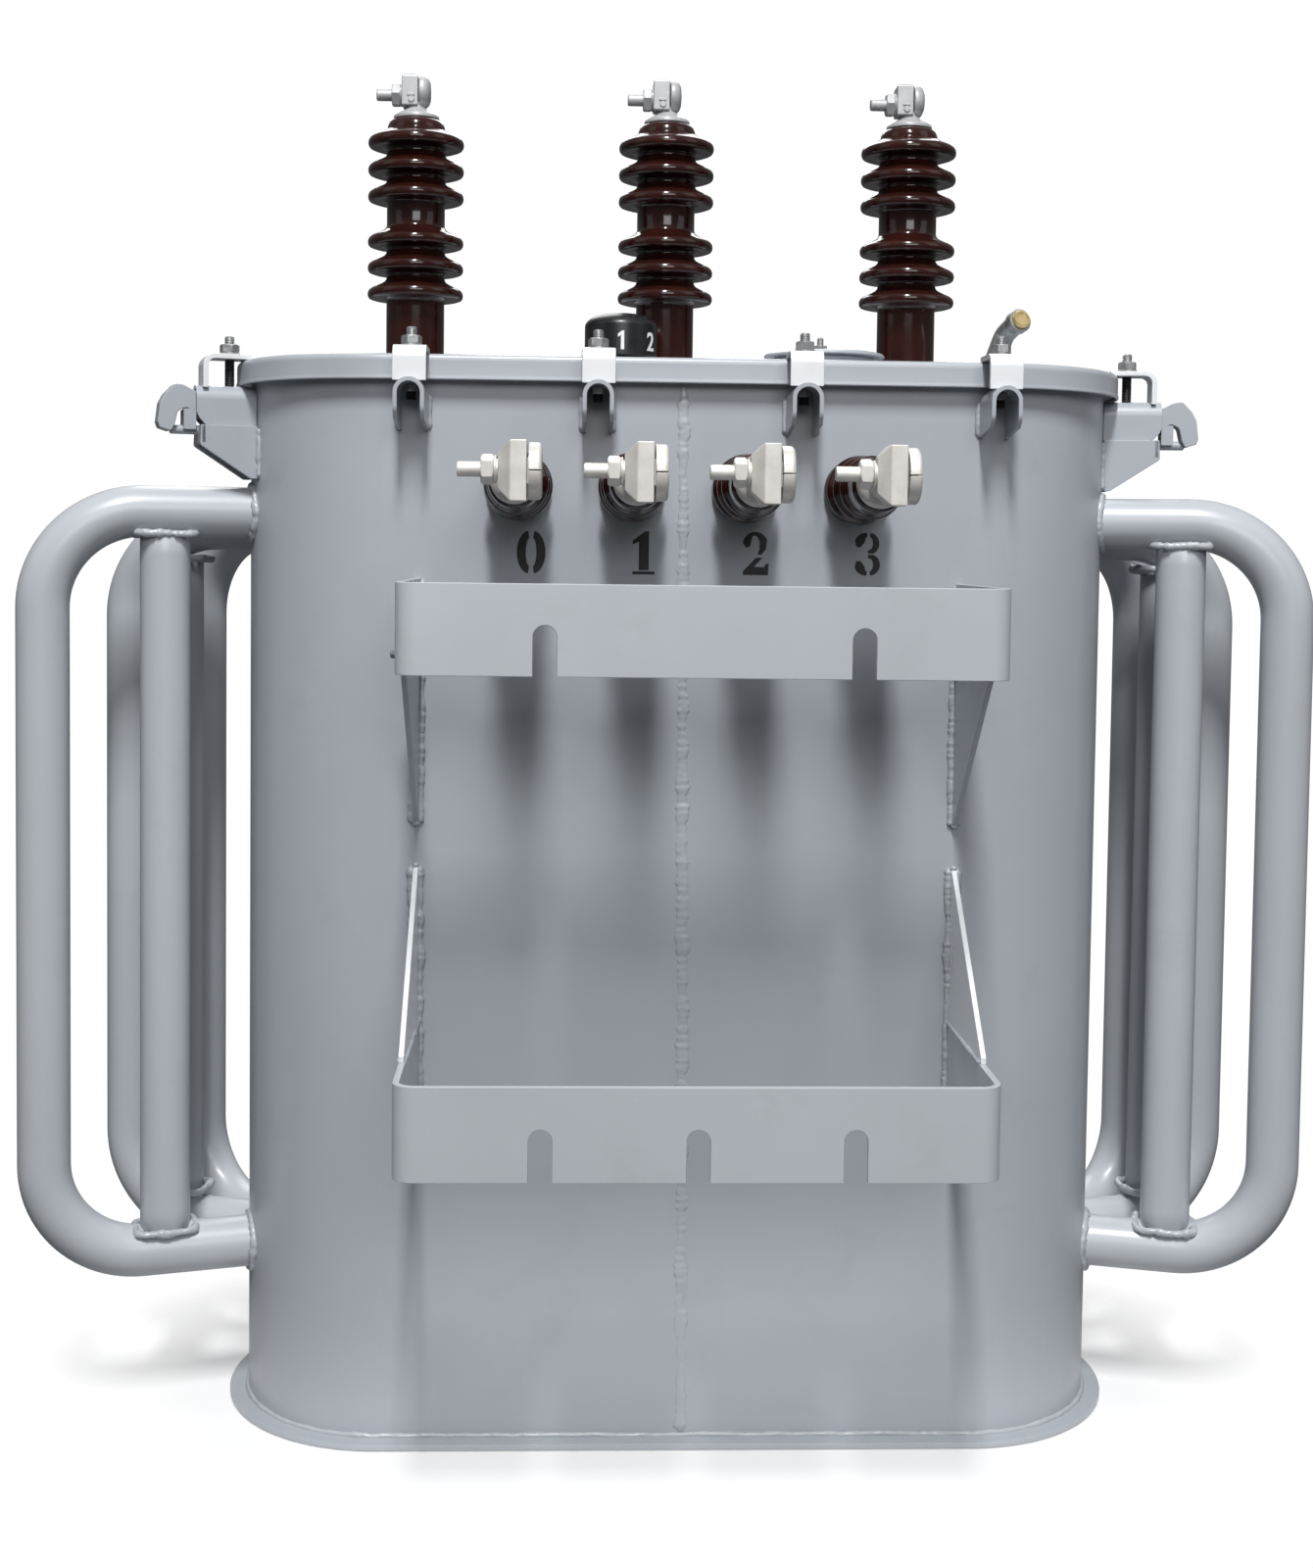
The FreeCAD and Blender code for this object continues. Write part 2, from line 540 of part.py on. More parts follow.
def arch(s, half, cz, low):
    """Inverted U: straight legs and a half-round top, as a closed outline."""
    h, c, l = val(half), val(cz), val(low)
    g = s.GeometryCount
    s.addGeometry(Part.ArcOfCircle(Part.Circle(V(0, c, 0), V(0, 0, 1), h), 0, math.pi), False)
    s.addGeometry(Part.LineSegment(V(-h, c, 0), V(-h, l, 0)), False)
    s.addGeometry(Part.LineSegment(V(-h, l, 0), V(h, l, 0)), False)
    s.addGeometry(Part.LineSegment(V(h, l, 0), V(h, c, 0)), False)
    C = Sketcher.Constraint
    s.addConstraint(C("Tangent", g, 2, g + 1, 1))
    s.addConstraint(C("Coincident", g + 1, 2, g + 2, 1))
    s.addConstraint(C("Coincident", g + 2, 2, g + 3, 1))
    s.addConstraint(C("Tangent", g + 3, 2, g, 1))
    s.addConstraint(C("Vertical", g + 1))
    s.addConstraint(C("Horizontal", g + 2))
    s.addConstraint(C("PointOnObject", g, 3, -2))
    c1 = s.addConstraint(C("DistanceY", -1, 1, g, 3, c))
    s.setExpression("Constraints[%d]" % c1, q(cz))
    c1 = s.addConstraint(C("Radius", g, h))
    s.setExpression("Constraints[%d]" % c1, q(half))
    c1 = s.addConstraint(C("DistanceY", -1, 1, g + 1, 2, l))
    s.setExpression("Constraints[%d]" % c1, q(low))


arch(s, "0.5*lug_wide", "lug_top-0.5*lug_wide", "lug_back-7")
pad(b, s, "lug_deep")
s = sketch(b, "XZ_Plane")
arch(s, "0.5*lug_wide-lug_plate", "lug_top-0.5*lug_wide", "lug_back-17")
pocket(b, s, None)
s = sketch(b, "YZ_Plane")
polygon(s, [("-1*lug_deep-5", "lug_front"), ("-1*lug_deep", "lug_front"), ("-1*lug_deep+7", "lug_back+1"), (0, "lug_back-7"), (0, "lug_back-12"),
            ("-1*lug_deep-5", "lug_back-12")])
pocket(b, s, None)
s = sketch(b, "YZ_Plane")
polygon(s, [("-1*strap_out-4", "lug_top+2"), ("-1*strap_out", "strap_low"), ("strap_thick-strap_out", "strap_low"), ("strap_thick-strap_out+4", "lug_top+2")])
pocket(b, s, None)
s = sketch(b, "XY_Plane", "lug_top+5")
circle(s, 0, "-1*bolt_y", "bolt_rad+0.5")
pocket(b, s, 20)
doc.recompute()
front = [("clamp_a", "-1*tank_rad", 0, 0), ("clamp_b", "-1*tank_rad", 0, 0), ("clamp_c", "-1*tank_rad", 0, 0), ("clamp_d", "-1*tank_rad", 0, 0)]
rear = [("clamp_a", "tank_rad", 0, 180), ("clamp_b", "tank_rad", 0, 180), ("clamp_c", "tank_rad", 0, 180), ("clamp_d", "tank_rad", 0, 180)]
# the two end clamps stand on the round ends, turned a little to the front
ends = [("end_left_x", "end_left_y", 0, D["end_left_turn"]), ("end_right_x", "end_right_y", 0, D["end_right_turn"])]
spots = front + rear + ends
node(copies("clamp_lugs", b, spots), "clamp_lugs")

b = body("strap_piece")
s = sketch(b, "YZ_Plane")
polygon(s, [(-6, "lid_top"), ("strap_thick-strap_out", "lid_top"), ("strap_thick-strap_out", "strap_low"), ("-1*strap_out", "strap_low"),
            ("-1*strap_out", "lid_top+strap_thick-6"), ("-1*strap_out+6", "lid_top+strap_thick"), (-6, "lid_top+strap_thick")])
pad(b, s, "strap_wide", midplane=True)
s = sketch(b, "XY_Plane", "lid_top+strap_thick+5")
circle(s, 0, "-1*bolt_y", "bolt_rad+0.5")
pocket(b, s, 20)
doc.recompute()
node(copies("clamp_straps", b, spots), "clamp_straps")

rod = cyl("bolt_rod", "bolt_rad", "lid_top+strap_thick+18-lug_top+20", 0, "-1*bolt_y", "lug_top-20")
n1 = hexa("bolt_nut", "nut_rad", "nut_high", 0, "-1*bolt_y", "lid_top+strap_thick+2")
w1 = cyl("bolt_wash", "nut_rad+0.7", 2.0, 0, "-1*bolt_y", "lid_top+strap_thick")
n2 = hexa("bolt_head", "nut_rad-1", "nut_high-1", 0, "-1*bolt_y", "lug_top-lug_plate-14")
piece = fuse("bolt_piece", [rod, n1, w1, n2])
doc.recompute()
node(copies("clamp_bolts", piece, spots), "clamp_bolts")

# ---------------------------------------------------------------- lifting lugs
# Local frame as for the clamps: wall at y = 0, reaching out along -y, mirrored by a half turn.
b = body("hook_body")
s = sketch(b, "YZ_Plane")
polygon(s, [(-58, 1015), (-70, 1021), (-78.5, 1022), (-88, 1012), (-92.7, 1003), (-95, 984.5), (-93, 979), (-82, 975.5), (-78.5, 982.5),
            (-75.6, 995.5), (-68, 999), (-58, 995.5)])
pad(b, s, "2*hook_half", midplane=True)
cheeks = []
for nm, off in (("cheek_a", "cheek_gap"), ("cheek_b", "-1*cheek_gap-cheek_thick")):
    c = body(nm)
    s = sketch(c, "YZ_Plane", off)
    polygon(s, [(2, 982.5), (-55, 982.5), (-56, 963), (-7, 931), (2, 931)])
    pad(c, s, "cheek_thick")
    cheeks.append(c)
web = box("cheek_web", "2*cheek_gap+2*cheek_thick", 5, 18, "-1*cheek_gap-cheek_thick", -55, 964.5)
bar = cyl("hook_bar", 4.5, 32.0, 0, -50, 978, RX)
root = box("hook_root", "2*hook_half", 12, 20, "-1*hook_half", -70, 978)
hook = fuse("hook_piece", [b, root, cheeks[0], cheeks[1], web, bar])
doc.recompute()
trimc = cyl("hook_trim", "tank_rad", 200, 0, "tank_rad", 880)
hook2 = cut("hook_cut", hook, trimc)
doc.recompute()
node(copies("lifting_lugs", hook2, ends), "lifting_lugs")

# ---------------------------------------------------------------- cooling tubes
# Local frame: the z axis is the axis of the tank's round end, and the tube's plane is y = 0, x outward.
ARMS = {}


def loop(label, outer, side, turn, low, high):
    def solid(tag, r, extra):
        t = []
        for k, z in enumerate((low, high)):
            t.append(cyl("%s_%s_arm%d" % (label, tag, k), r, "%s-bend_rad-100+%s" % (outer, extra), "100-%s" % extra, 0, z, RY))
            o = doc.addObject("Part::Torus", "%s_%s_bend%d" % (label, tag, k))
            o.Radius1 = D["bend_rad"]
            o.Radius2 = val(r)
            bind(o, "Radius1", "bend_rad")
            bind(o, "Radius2", r)
            o.Angle3 = 90
            if k == 0:
                rot = FreeCAD.Rotation(V(1, 0, 0), V(0, 0, -1), V(0, 1, 0), "XYZ")
                place(o, outer + "-bend_rad", 0, z + "+bend_rad", rot)
            else:
                rot = FreeCAD.Rotation(V(1, 0, 0), V(0, 0, 1), V(0, -1, 0), "XYZ")
                place(o, outer + "-bend_rad", 0, z + "-bend_rad", rot)
            t.append(o)
        t.append(cyl("%s_%s_up" % (label, tag), r, "%s-%s-2*bend_rad" % (high, low), outer, 0, low + "+bend_rad"))
        return fuse("%s_%s" % (label, tag), t)
    a = solid("o", "tube_rad", "0")
    ARMS[label] = a
    i = solid("i", "tube_rad-tube_wall", "5")
    tank = cyl(label + "_tank", "tank_rad", 1200, 0, 0, -50)
    c = cut(label + "_c", cut(label + "_h", a, i), tank)
    c.Placement = FreeCAD.Placement(V(side * D["tank_half"], 0, 0), FreeCAD.Rotation(V(0, 0, 1), turn[0]))
    c.setExpression("Placement.Base.x", ("-" if side < 0 else "") + "Dims.tank_half")
    c.setExpression("Placement.Rotation.Angle", turn[1])
    return c


def riser(label, where, side, turn, arms, rise, low, high):
    o = cyl(label + "_o", "riser_rad", "%s-%s-2*%s" % (high, low, rise), where, 0, low + "+" + rise)
    i = cyl(label + "_i", "riser_rad-tube_wall", "%s-%s+2" % (high, low), where, 0, low + "-1")
    c = cut(label + "_c", cut(label + "_h", o, i), arms)
    c.Placement = FreeCAD.Placement(V(side * D["tank_half"], 0, 0), FreeCAD.Rotation(V(0, 0, 1), turn[0]))
    c.setExpression("Placement.Base.x", ("-" if side < 0 else "") + "Dims.tank_half")
    c.setExpression("Placement.Rotation.Angle", turn[1])
    return c


ff, fm = D["fan_front"], D["fan_mid"]
UNITS = [
    ("left_front", "lf_out", "lf_in", -1, (180 + ff, "180 deg + Dims.fan_front * 1 deg")),
    ("left_mid", "lm_out", "lm_in", -1, (180 - fm, "180 deg - Dims.fan_mid * 1 deg")),
    ("left_rear", "lr_out", None, -1, (180 - D["fan_rear_left"], "180 deg - Dims.fan_rear_left * 1 deg")),
    ("right_front", "rf_out", "rf_in", 1, (-ff, "360 deg - Dims.fan_front * 1 deg")),
    ("right_mid", "rm_out", "rm_in", 1, (fm, "Dims.fan_mid * 1 deg")),
    ("right_rear", "rr_out", None, 1, (D["fan_rear_right"], "Dims.fan_rear_right * 1 deg")),
]
for name, outer, inner, side, turn in UNITS:
    if turn[0] < 0:
        turn = (360 + turn[0], turn[1])
    low, high = {"front": ("tube_low", "tube_high"), "mid": ("mid_low", "mid_high"), "rear": ("rear_low", "rear_high")}[name.split("_")[1]]
    node(loop("loop_" + name, outer, side, turn, low, high), "cooling_loop_" + name)
    if inner:
        rise = "rise_mid" if name.endswith("mid") else "rise_front"
        node(riser("riser_" + name, inner, side, turn, ARMS["loop_" + name], rise, low, high), "cooling_riser_" + name)

doc.recompute()

# ---------------------------------------------------------------- checks and export
bad = []
for o in doc.Objects:
    if "Invalid" in o.State or "Error" in o.State:
        bad.append((o.Name, o.State))
for o in NODES:
    sh = o.Shape
    if sh.isNull() or not sh.isValid() or not sh.Solids:
        bad.append((o.Label, "shape"))
if bad:
    print("PROBLEMS", bad)
os.makedirs("parts", exist_ok=True)
total = 0.0
for o in NODES:
    shape = o.Shape
    total += shape.Volume
    print("%-28s solids %2d  volume %12.0f  box %s" % (o.Label, len(shape.Solids), shape.Volume, [round(x, 1) for x in (shape.BoundBox.XMin, shape.BoundBox.XMax, shape.BoundBox.YMin, shape.BoundBox.YMax, shape.BoundBox.ZMin, shape.BoundBox.ZMax)]))
    shape.exportStep("parts/%s.step" % o.Label)
print("nodes", len(NODES), "volume", total)
if bad:
    raise SystemExit("part not valid: %s" % bad)
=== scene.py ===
import bpy, bmesh, math
import numpy as np
from mathutils import Vector, Matrix, noise


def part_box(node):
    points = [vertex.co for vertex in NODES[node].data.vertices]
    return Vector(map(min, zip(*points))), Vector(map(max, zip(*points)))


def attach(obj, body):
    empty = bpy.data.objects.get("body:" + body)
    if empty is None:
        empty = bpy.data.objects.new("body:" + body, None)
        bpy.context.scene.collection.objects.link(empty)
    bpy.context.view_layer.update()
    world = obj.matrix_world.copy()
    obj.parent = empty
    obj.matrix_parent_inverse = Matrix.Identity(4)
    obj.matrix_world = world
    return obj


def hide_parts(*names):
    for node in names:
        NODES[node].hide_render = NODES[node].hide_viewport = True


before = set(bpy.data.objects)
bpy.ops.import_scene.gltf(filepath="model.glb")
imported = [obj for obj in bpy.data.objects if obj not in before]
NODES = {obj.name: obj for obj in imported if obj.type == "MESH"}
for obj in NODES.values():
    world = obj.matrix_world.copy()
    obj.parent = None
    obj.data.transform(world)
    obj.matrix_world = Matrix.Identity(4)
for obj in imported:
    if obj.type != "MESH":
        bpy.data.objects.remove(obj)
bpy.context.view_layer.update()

# Sizes below are millimetres in the row frame; meshes are written in metres.
BODY = "transformer"
MM = 0.001
V = Vector


def nb(n):
    a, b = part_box(n)
    return V(a) * 1000, V(b) * 1000


# ------------------------------------------------------------------ materials
def nodes_of(m):
    m.use_nodes = True
    nt = m.node_tree
    bs = next(n for n in nt.nodes if n.type == "BSDF_PRINCIPLED")
    return nt, bs


def noise_node(nt, scale, detail=3.0, rough=0.55, stretch=None, dist=0.0):
    tc = nt.nodes.new("ShaderNodeTexCoord")
    n = nt.nodes.new("ShaderNodeTexNoise")
    n.inputs["Scale"].default_value = scale
    n.inputs["Detail"].default_value = detail
    n.inputs["Roughness"].default_value = rough
    n.inputs["Distortion"].default_value = dist
    if stretch:
        mp = nt.nodes.new("ShaderNodeMapping")
        mp.inputs["Scale"].default_value = stretch
        nt.links.new(tc.outputs["Object"], mp.inputs["Vector"])
        nt.links.new(mp.outputs["Vector"], n.inputs["Vector"])
    else:
        nt.links.new(tc.outputs["Object"], n.inputs["Vector"])
    return n.outputs["Fac"]


def ramp(nt, fac, stops):
    r = nt.nodes.new("ShaderNodeValToRGB")
    while len(r.color_ramp.elements) < len(stops):
        r.color_ramp.elements.new(0.5)
    for e, (p, c) in zip(r.color_ramp.elements, stops):
        e.position = p
        e.color = (c[0], c[1], c[2], 1.0) if hasattr(c, "__len__") else (c, c, c, 1.0)
    nt.links.new(fac, r.inputs["Fac"])
    return r.outputs["Color"]


def mix(nt, a, b, fac, mode="MIX"):
    m = nt.nodes.new("ShaderNodeMix")
    m.data_type = "RGBA"
    m.blend_type = mode
    for sock, val in ((m.inputs[0], fac), (m.inputs[6], a), (m.inputs[7], b)):
        if hasattr(val, "is_output"):
            nt.links.new(val, sock)
        elif hasattr(val, "__len__"):
            sock.default_value = (val[0], val[1], val[2], 1.0)
        else:
            sock.default_value = val
    return m.outputs[2]


def bump(nt, bs, layers):
    prev = None
    for fac, strength, dist in layers:
        b = nt.nodes.new("ShaderNodeBump")
        b.inputs["Strength"].default_value = strength
        b.inputs["Distance"].default_value = dist
        nt.links.new(fac, b.inputs["Height"])
        if prev is not None:
            nt.links.new(prev, b.inputs["Normal"])
        prev = b.outputs["Normal"]
    nt.links.new(prev, bs.inputs["Normal"])


def paint(name, base, rough=0.36, coat=0.25, peel=0.06, wave=0.25, dirt=0.10):
    m = bpy.data.materials.new(name)
    nt, bs = nodes_of(m)
    b = np.array(base)
    big = noise_node(nt, 2.2, 4.0)
    c = ramp(nt, big, [(0.30, b * 0.94), (0.50, b), (0.72, np.minimum(b * 1.06, 1))])
    streak = noise_node(nt, 7.0, 5.0, 0.6, (1.6, 1.6, 0.12))
    c = mix(nt, c, tuple(b * 0.80), ramp(nt, streak, [(0.52, 0.0), (0.80, dirt * 2.2)]))
    speck = noise_node(nt, 240.0, 2.0, 0.7)
    c = mix(nt, c, tuple(np.minimum(b * 1.28, 1)), ramp(nt, speck, [(0.66, 0.0), (0.78, 0.20)]))
    smudge = noise_node(nt, 11.0, 6.0, 0.68, None, 0.6)
    c = mix(nt, c, (b[0] * 0.74, b[1] * 0.73, b[2] * 0.70), ramp(nt, smudge, [(0.56, 0.0), (0.78, dirt * 2.6)]))
    nt.links.new(c, bs.inputs["Base Color"])
    r = ramp(nt, noise_node(nt, 16.0, 5.0, 0.6), [(0.30, rough - 0.05), (0.70, rough + 0.09)])
    nt.links.new(r, bs.inputs["Roughness"])
    bs.inputs["Coat Weight"].default_value = coat
    bs.inputs["Coat Roughness"].default_value = 0.16
    bump(nt, bs, [(noise_node(nt, 7.5, 2.0, 0.4), wave, 0.0016), (noise_node(nt, 620.0, 2.0, 0.5), peel, 0.0006),
                  (noise_node(nt, 90.0, 3.0, 0.55), peel * 0.8, 0.0008)])
    return m


def simple(name, stops, scale, rough, metallic=0.0, coat=0.0, coat_rough=0.03, bumps=((300.0, 0.05, 0.0004),), spec=0.5, stretch=None, spots=None):
    m = bpy.data.materials.new(name)
    nt, bs = nodes_of(m)
    c = ramp(nt, noise_node(nt, scale, 5.0, 0.6, stretch), stops)
    if spots:
        sc, lo, hi, col, amt = spots
        c = mix(nt, c, col, ramp(nt, noise_node(nt, sc, 4.0, 0.65), [(lo, 0.0), (hi, amt)]))
    nt.links.new(c, bs.inputs["Base Color"])
    r = ramp(nt, noise_node(nt, scale * 2.3, 4.0, 0.6), [(0.3, rough[0]), (0.7, rough[1])])
    nt.links.new(r, bs.inputs["Roughness"])
    bs.inputs["Metallic"].default_value = metallic
    bs.inputs["Coat Weight"].default_value = coat
    bs.inputs["Coat Roughness"].default_value = coat_rough
    bs.inputs["Specular IOR Level"].default_value = spec
    bump(nt, bs, [(noise_node(nt, s, 3.0, 0.5), k, d) for s, k, d in bumps])
    return m


GRAY = (0.385, 0.412, 0.447)
M = {
    "paint": paint("gray_enamel", GRAY),
    # painted highlight: the straps' paint is much lighter than the tank's grey, standing in for the lamp's bright
    # reflection on their faces
    "strap": paint("strap_enamel_painted_highlight", (0.76, 0.78, 0.80), rough=0.30, coat=0.4, dirt=0.16),
    # painted sheen: the brackets' paint is a lighter copy of the tank's grey, standing in for the brighter light their
    # flat front faces catch
    "plate": paint("bracket_enamel_painted_sheen", (0.475, 0.502, 0.535)),
    # painted sheen: the cooler tubes' paint is a lighter copy of the tank's grey, standing in for the brighter light
    # the tubes catch
    "pipe": paint("cooler_enamel_painted_sheen", (0.455, 0.482, 0.515)),
    "weld": paint("painted_weld", (0.40, 0.425, 0.455), rough=0.34, coat=0.3, peel=0.25, wave=0.2, dirt=0.18),
    "porcelain": simple("brown_glaze", [(0.25, (0.015, 0.0040, 0.0030)), (0.55, (0.027, 0.0066, 0.0046)), (0.80, (0.046, 0.0100, 0.0066))], 26.0,
                        (0.12, 0.20), coat=0.45, coat_rough=0.02, bumps=((70.0, 0.05, 0.0006), (14.0, 0.10, 0.0010)), spec=0.28),
    "tin": simple("tinned_finish", [(0.25, (0.60, 0.575, 0.535)), (0.55, (0.70, 0.68, 0.64)), (0.80, (0.78, 0.765, 0.735))], 60.0,
                  (0.34, 0.48), metallic=0.25, bumps=((420.0, 0.05, 0.0003), (90.0, 0.05, 0.0004)), spots=(120.0, 0.70, 0.80, (0.42, 0.39, 0.34), 0.4)),
    "alloy": simple("clamp_alloy", [(0.25, (0.40, 0.405, 0.415)), (0.55, (0.46, 0.465, 0.475)), (0.80, (0.52, 0.525, 0.535))], 60.0,
                    (0.36, 0.48), metallic=0.2, bumps=((420.0, 0.05, 0.0003),)),
    "zinc": simple("galvanised_steel", [(0.25, (0.28, 0.285, 0.29)), (0.55, (0.40, 0.405, 0.41)), (0.80, (0.54, 0.545, 0.55))], 120.0,
                   (0.32, 0.52), metallic=0.75, bumps=((500.0, 0.12, 0.0004),), spots=(80.0, 0.60, 0.75, (0.18, 0.17, 0.16), 0.5)),
    "dark": simple("dark_stud", [(0.3, (0.012, 0.012, 0.013)), (0.8, (0.05, 0.05, 0.052))], 150.0, (0.35, 0.55), metallic=0.6),
    "black": simple("black_moulding", [(0.3, (0.0065, 0.0070, 0.0078)), (0.8, (0.013, 0.0138, 0.015))], 40.0, (0.26, 0.40), coat=0.15, coat_rough=0.2,
                    bumps=((700.0, 0.10, 0.0003),)),
    "rubber": simple("black_rubber_finish", [(0.3, (0.010, 0.010, 0.010)), (0.8, (0.022, 0.022, 0.022))], 60.0, (0.6, 0.8)),
    "brass": simple("yellow_brass_finish", [(0.25, (0.52, 0.37, 0.16)), (0.55, (0.70, 0.54, 0.28)), (0.8, (0.80, 0.66, 0.40))], 90.0, (0.24, 0.42), metallic=0.8,
                    bumps=((400.0, 0.08, 0.0003),)),
    "stencil": simple("stencil_black", [(0.3, (0.0045, 0.0048, 0.0055)), (0.8, (0.011, 0.0115, 0.013))], 80.0, (0.38, 0.55), bumps=((500.0, 0.08, 0.0003),)),
    "white": simple("white_marking", [(0.3, (0.72, 0.73, 0.74)), (0.8, (0.84, 0.85, 0.86))], 200.0, (0.4, 0.5)),
}


# ------------------------------------------------------------------ mesh tools
class Geo:
    def __init__(self):
        self.v, self.f = [], []

    def add(self, vf, mx=None):
        v, f = vf
        off = len(self.v)
        self.v += [tuple(mx @ V(p)) for p in v] if mx is not None else [tuple(p) for p in v]
        self.f += [tuple(i + off for i in t) for t in f]
        return self

    def get(self):
        return self.v, self.f

    def obj(self, name, mat, replaces=(), body=BODY, angle=32, wn=True, slot=True):
        me = bpy.data.meshes.new(name)
        me.from_pydata([(p[0] * MM, p[1] * MM, p[2] * MM) for p in self.v], [], self.f)
        bm = bmesh.new()
        bm.from_mesh(me)
        bmesh.ops.dissolve_degenerate(bm, dist=1e-6, edges=bm.edges)
        bmesh.ops.recalc_face_normals(bm, faces=bm.faces)
        bm.to_mesh(me)
        bm.free()
        me.polygons.foreach_set("use_smooth", [True] * len(me.polygons))
        me.set_sharp_from_angle(angle=math.radians(angle))
        me.materials.append(M[mat])
        o = bpy.data.objects.new(name, me)
        bpy.context.scene.collection.objects.link(o)
        if wn:
            w = o.modifiers.new("normals", "WEIGHTED_NORMAL")
            w.keep_sharp = True
        if replaces:
            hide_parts(*replaces)
        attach(o, body)
        return o


def T(x=0, y=0, z=0, rz=0.0, axis=None):
    """Places a local shape: axis names where local +Z goes."""
    r = {None: Matrix.Identity(4), "-Y": Matrix.Rotation(math.pi / 2, 4, "X"), "-X": Matrix.Rotation(-math.pi / 2, 4, "Y"), "+X": Matrix.Rotation(math.pi / 2, 4, "Y")}[axis]
    return Matrix.Translation((x, y, z)) @ Matrix.Rotation(math.radians(rz), 4, "Z") @ r


def rev(prof, n=64):
    v, f, rings = [], [], []
    for r, z in prof:
        if r < 1e-6:
            rings.append([len(v)])
            v.append((0, 0, z))
        else:
            rings.append(list(range(len(v), len(v) + n)))
            v += [(r * math.cos(2 * math.pi * k / n), r * math.sin(2 * math.pi * k / n), z) for k in range(n)]
    for a, b in zip(rings, rings[1:]):
        for k in range(n):
            j = (k + 1) % n
            if len(a) == 1 and len(b) > 1:
                f.append((a[0], b[j], b[k]))
            elif len(b) == 1 and len(a) > 1:
                f.append((a[k], a[j], b[0]))
            elif len(a) > 1:
                f.append((a[k], a[j], b[j], b[k]))
    if len(rings[0]) > 1:
        f.append(tuple(reversed(rings[0])))
    if len(rings[-1]) > 1:
        f.append(tuple(rings[-1]))
    return v, f


def ring(prof, n=64):
    """Closed profile turned about z: a ring."""
    v, f = [], []
    m = len(prof)
    for k in range(n):
        a = 2 * math.pi * k / n
        v += [(r * math.cos(a), r * math.sin(a), z) for r, z in prof]
    for k in range(n):
        j = (k + 1) % n
        for i in range(m):
            h = (i + 1) % m
            f.append((k * m + i, j * m + i, j * m + h, k * m + h))
    return v, f


def fillet(pts, rs, n=6):
    out = []
    m = len(pts)
    for i in range(m):
        r = rs[i] if hasattr(rs, "__len__") else rs
        p, a, b = V(pts[i]), V(pts[i - 1]), V(pts[(i + 1) % m])
        if r <= 0:
            out.append(tuple(p))
            continue
        u, w = (a - p).normalized(), (b - p).normalized()
        ang = u.angle(w)
        if ang > math.pi - 0.02:
            out.append(tuple(p))
            continue
        d = min(r / math.tan(ang / 2), (a - p).length * 0.49, (b - p).length * 0.49)
        rr = d * math.tan(ang / 2)
        c = p + (u + w).normalized() * (rr / math.sin(ang / 2))
        s, e = p + u * d - c, p + w * d - c
        tot = math.atan2(s.x * e.y - s.y * e.x, s.dot(e))
        for k in range(n + 1):
            t = tot * k / n
            out.append((c.x + s.x * math.cos(t) - s.y * math.sin(t), c.y + s.x * math.sin(t) + s.y * math.cos(t)))
    return out


def to_vf(bm):
    bm.verts.ensure_lookup_table()
    for i, x in enumerate(bm.verts):
        x.index = i
    return [tuple(x.co) for x in bm.verts], [tuple(q.index for q in f.verts) for f in bm.faces]


def prism_bm(poly, h0, h1):
    bm = bmesh.new()
    bot = [bm.verts.new((p[0], p[1], h0)) for p in poly]
    top = [bm.verts.new((p[0], p[1], h1)) for p in poly]
    bm.faces.new(list(reversed(bot)))
    bm.faces.new(top)
    m = len(poly)
    for i in range(m):
        j = (i + 1) % m
        bm.faces.new((bot[i], bot[j], top[j], top[i]))
    bmesh.ops.recalc_face_normals(bm, faces=bm.faces)
    return bm


def soften(bm, r, seg=2, deg=25):
    bmesh.ops.recalc_face_normals(bm, faces=bm.faces)
    es = [e for e in bm.edges if len(e.link_faces) == 2 and e.calc_face_angle(0) > math.radians(deg)]
    if es and r > 0:
        bmesh.ops.bevel(bm, geom=es, offset=r, segments=seg, profile=0.5, affect="EDGES", clamp_overlap=True)
    return bm


def prism(poly, h0, h1, bev=0.8, seg=2, deg=25):
    bm = soften(prism_bm(poly, h0, h1), bev, seg, deg)
    r = to_vf(bm)
    bm.free()
    return r


def block(x0, x1, y0, y1, z0, z1, bev=0.8, seg=2):
    return prism([(x0, y0), (x1, y0), (x1, y1), (x0, y1)], z0, z1, bev, seg)


def hexa(r, h, z0=0.0, turn=0.0, cham=0.14, n=72):
    prof = [0.0, h * cham * 0.5, h * cham, h * (1 - cham), h * (1 - cham * 0.5), h]
    v, f, rings = [(0, 0, z0)], [], []
    apo = r * math.cos(math.pi / 6)
    for z in prof:
        e = min(z, h - z) / (h * cham)
        rc = apo * 0.985 + min(e, 1.0) * (r - apo) * 1.15
        rings.append(range(len(v), len(v) + n))
        for k in range(n):
            a = 2 * math.pi * k / n
            m = (a % (math.pi / 3)) - math.pi / 6
            v.append((min(apo / math.cos(m), rc) * math.cos(a + turn), min(apo / math.cos(m), rc) * math.sin(a + turn), z0 + z))
    v.append((0, 0, z0 + h))
    for k in range(n):
        j = (k + 1) % n
        f.append((0, rings[0][j], rings[0][k]))
        f.append((len(v) - 1, rings[-1][k], rings[-1][j]))
        for a, b in zip(rings, rings[1:]):
            f.append((a[k], a[j], b[j], b[k]))
    return v, f


def washer(r, h, z0=0.0, bore=0.0):
    e = min(0.5, h * 0.3)
    if bore:
        return ring([(bore, z0), (r - e, z0), (r, z0 + e), (r, z0 + h - e), (r - e, z0 + h), (bore, z0 + h)], 48)
    return rev([(0, z0), (r - e, z0), (r, z0 + e), (r, z0 + h - e), (r - e, z0 + h), (0, z0 + h)], 48)


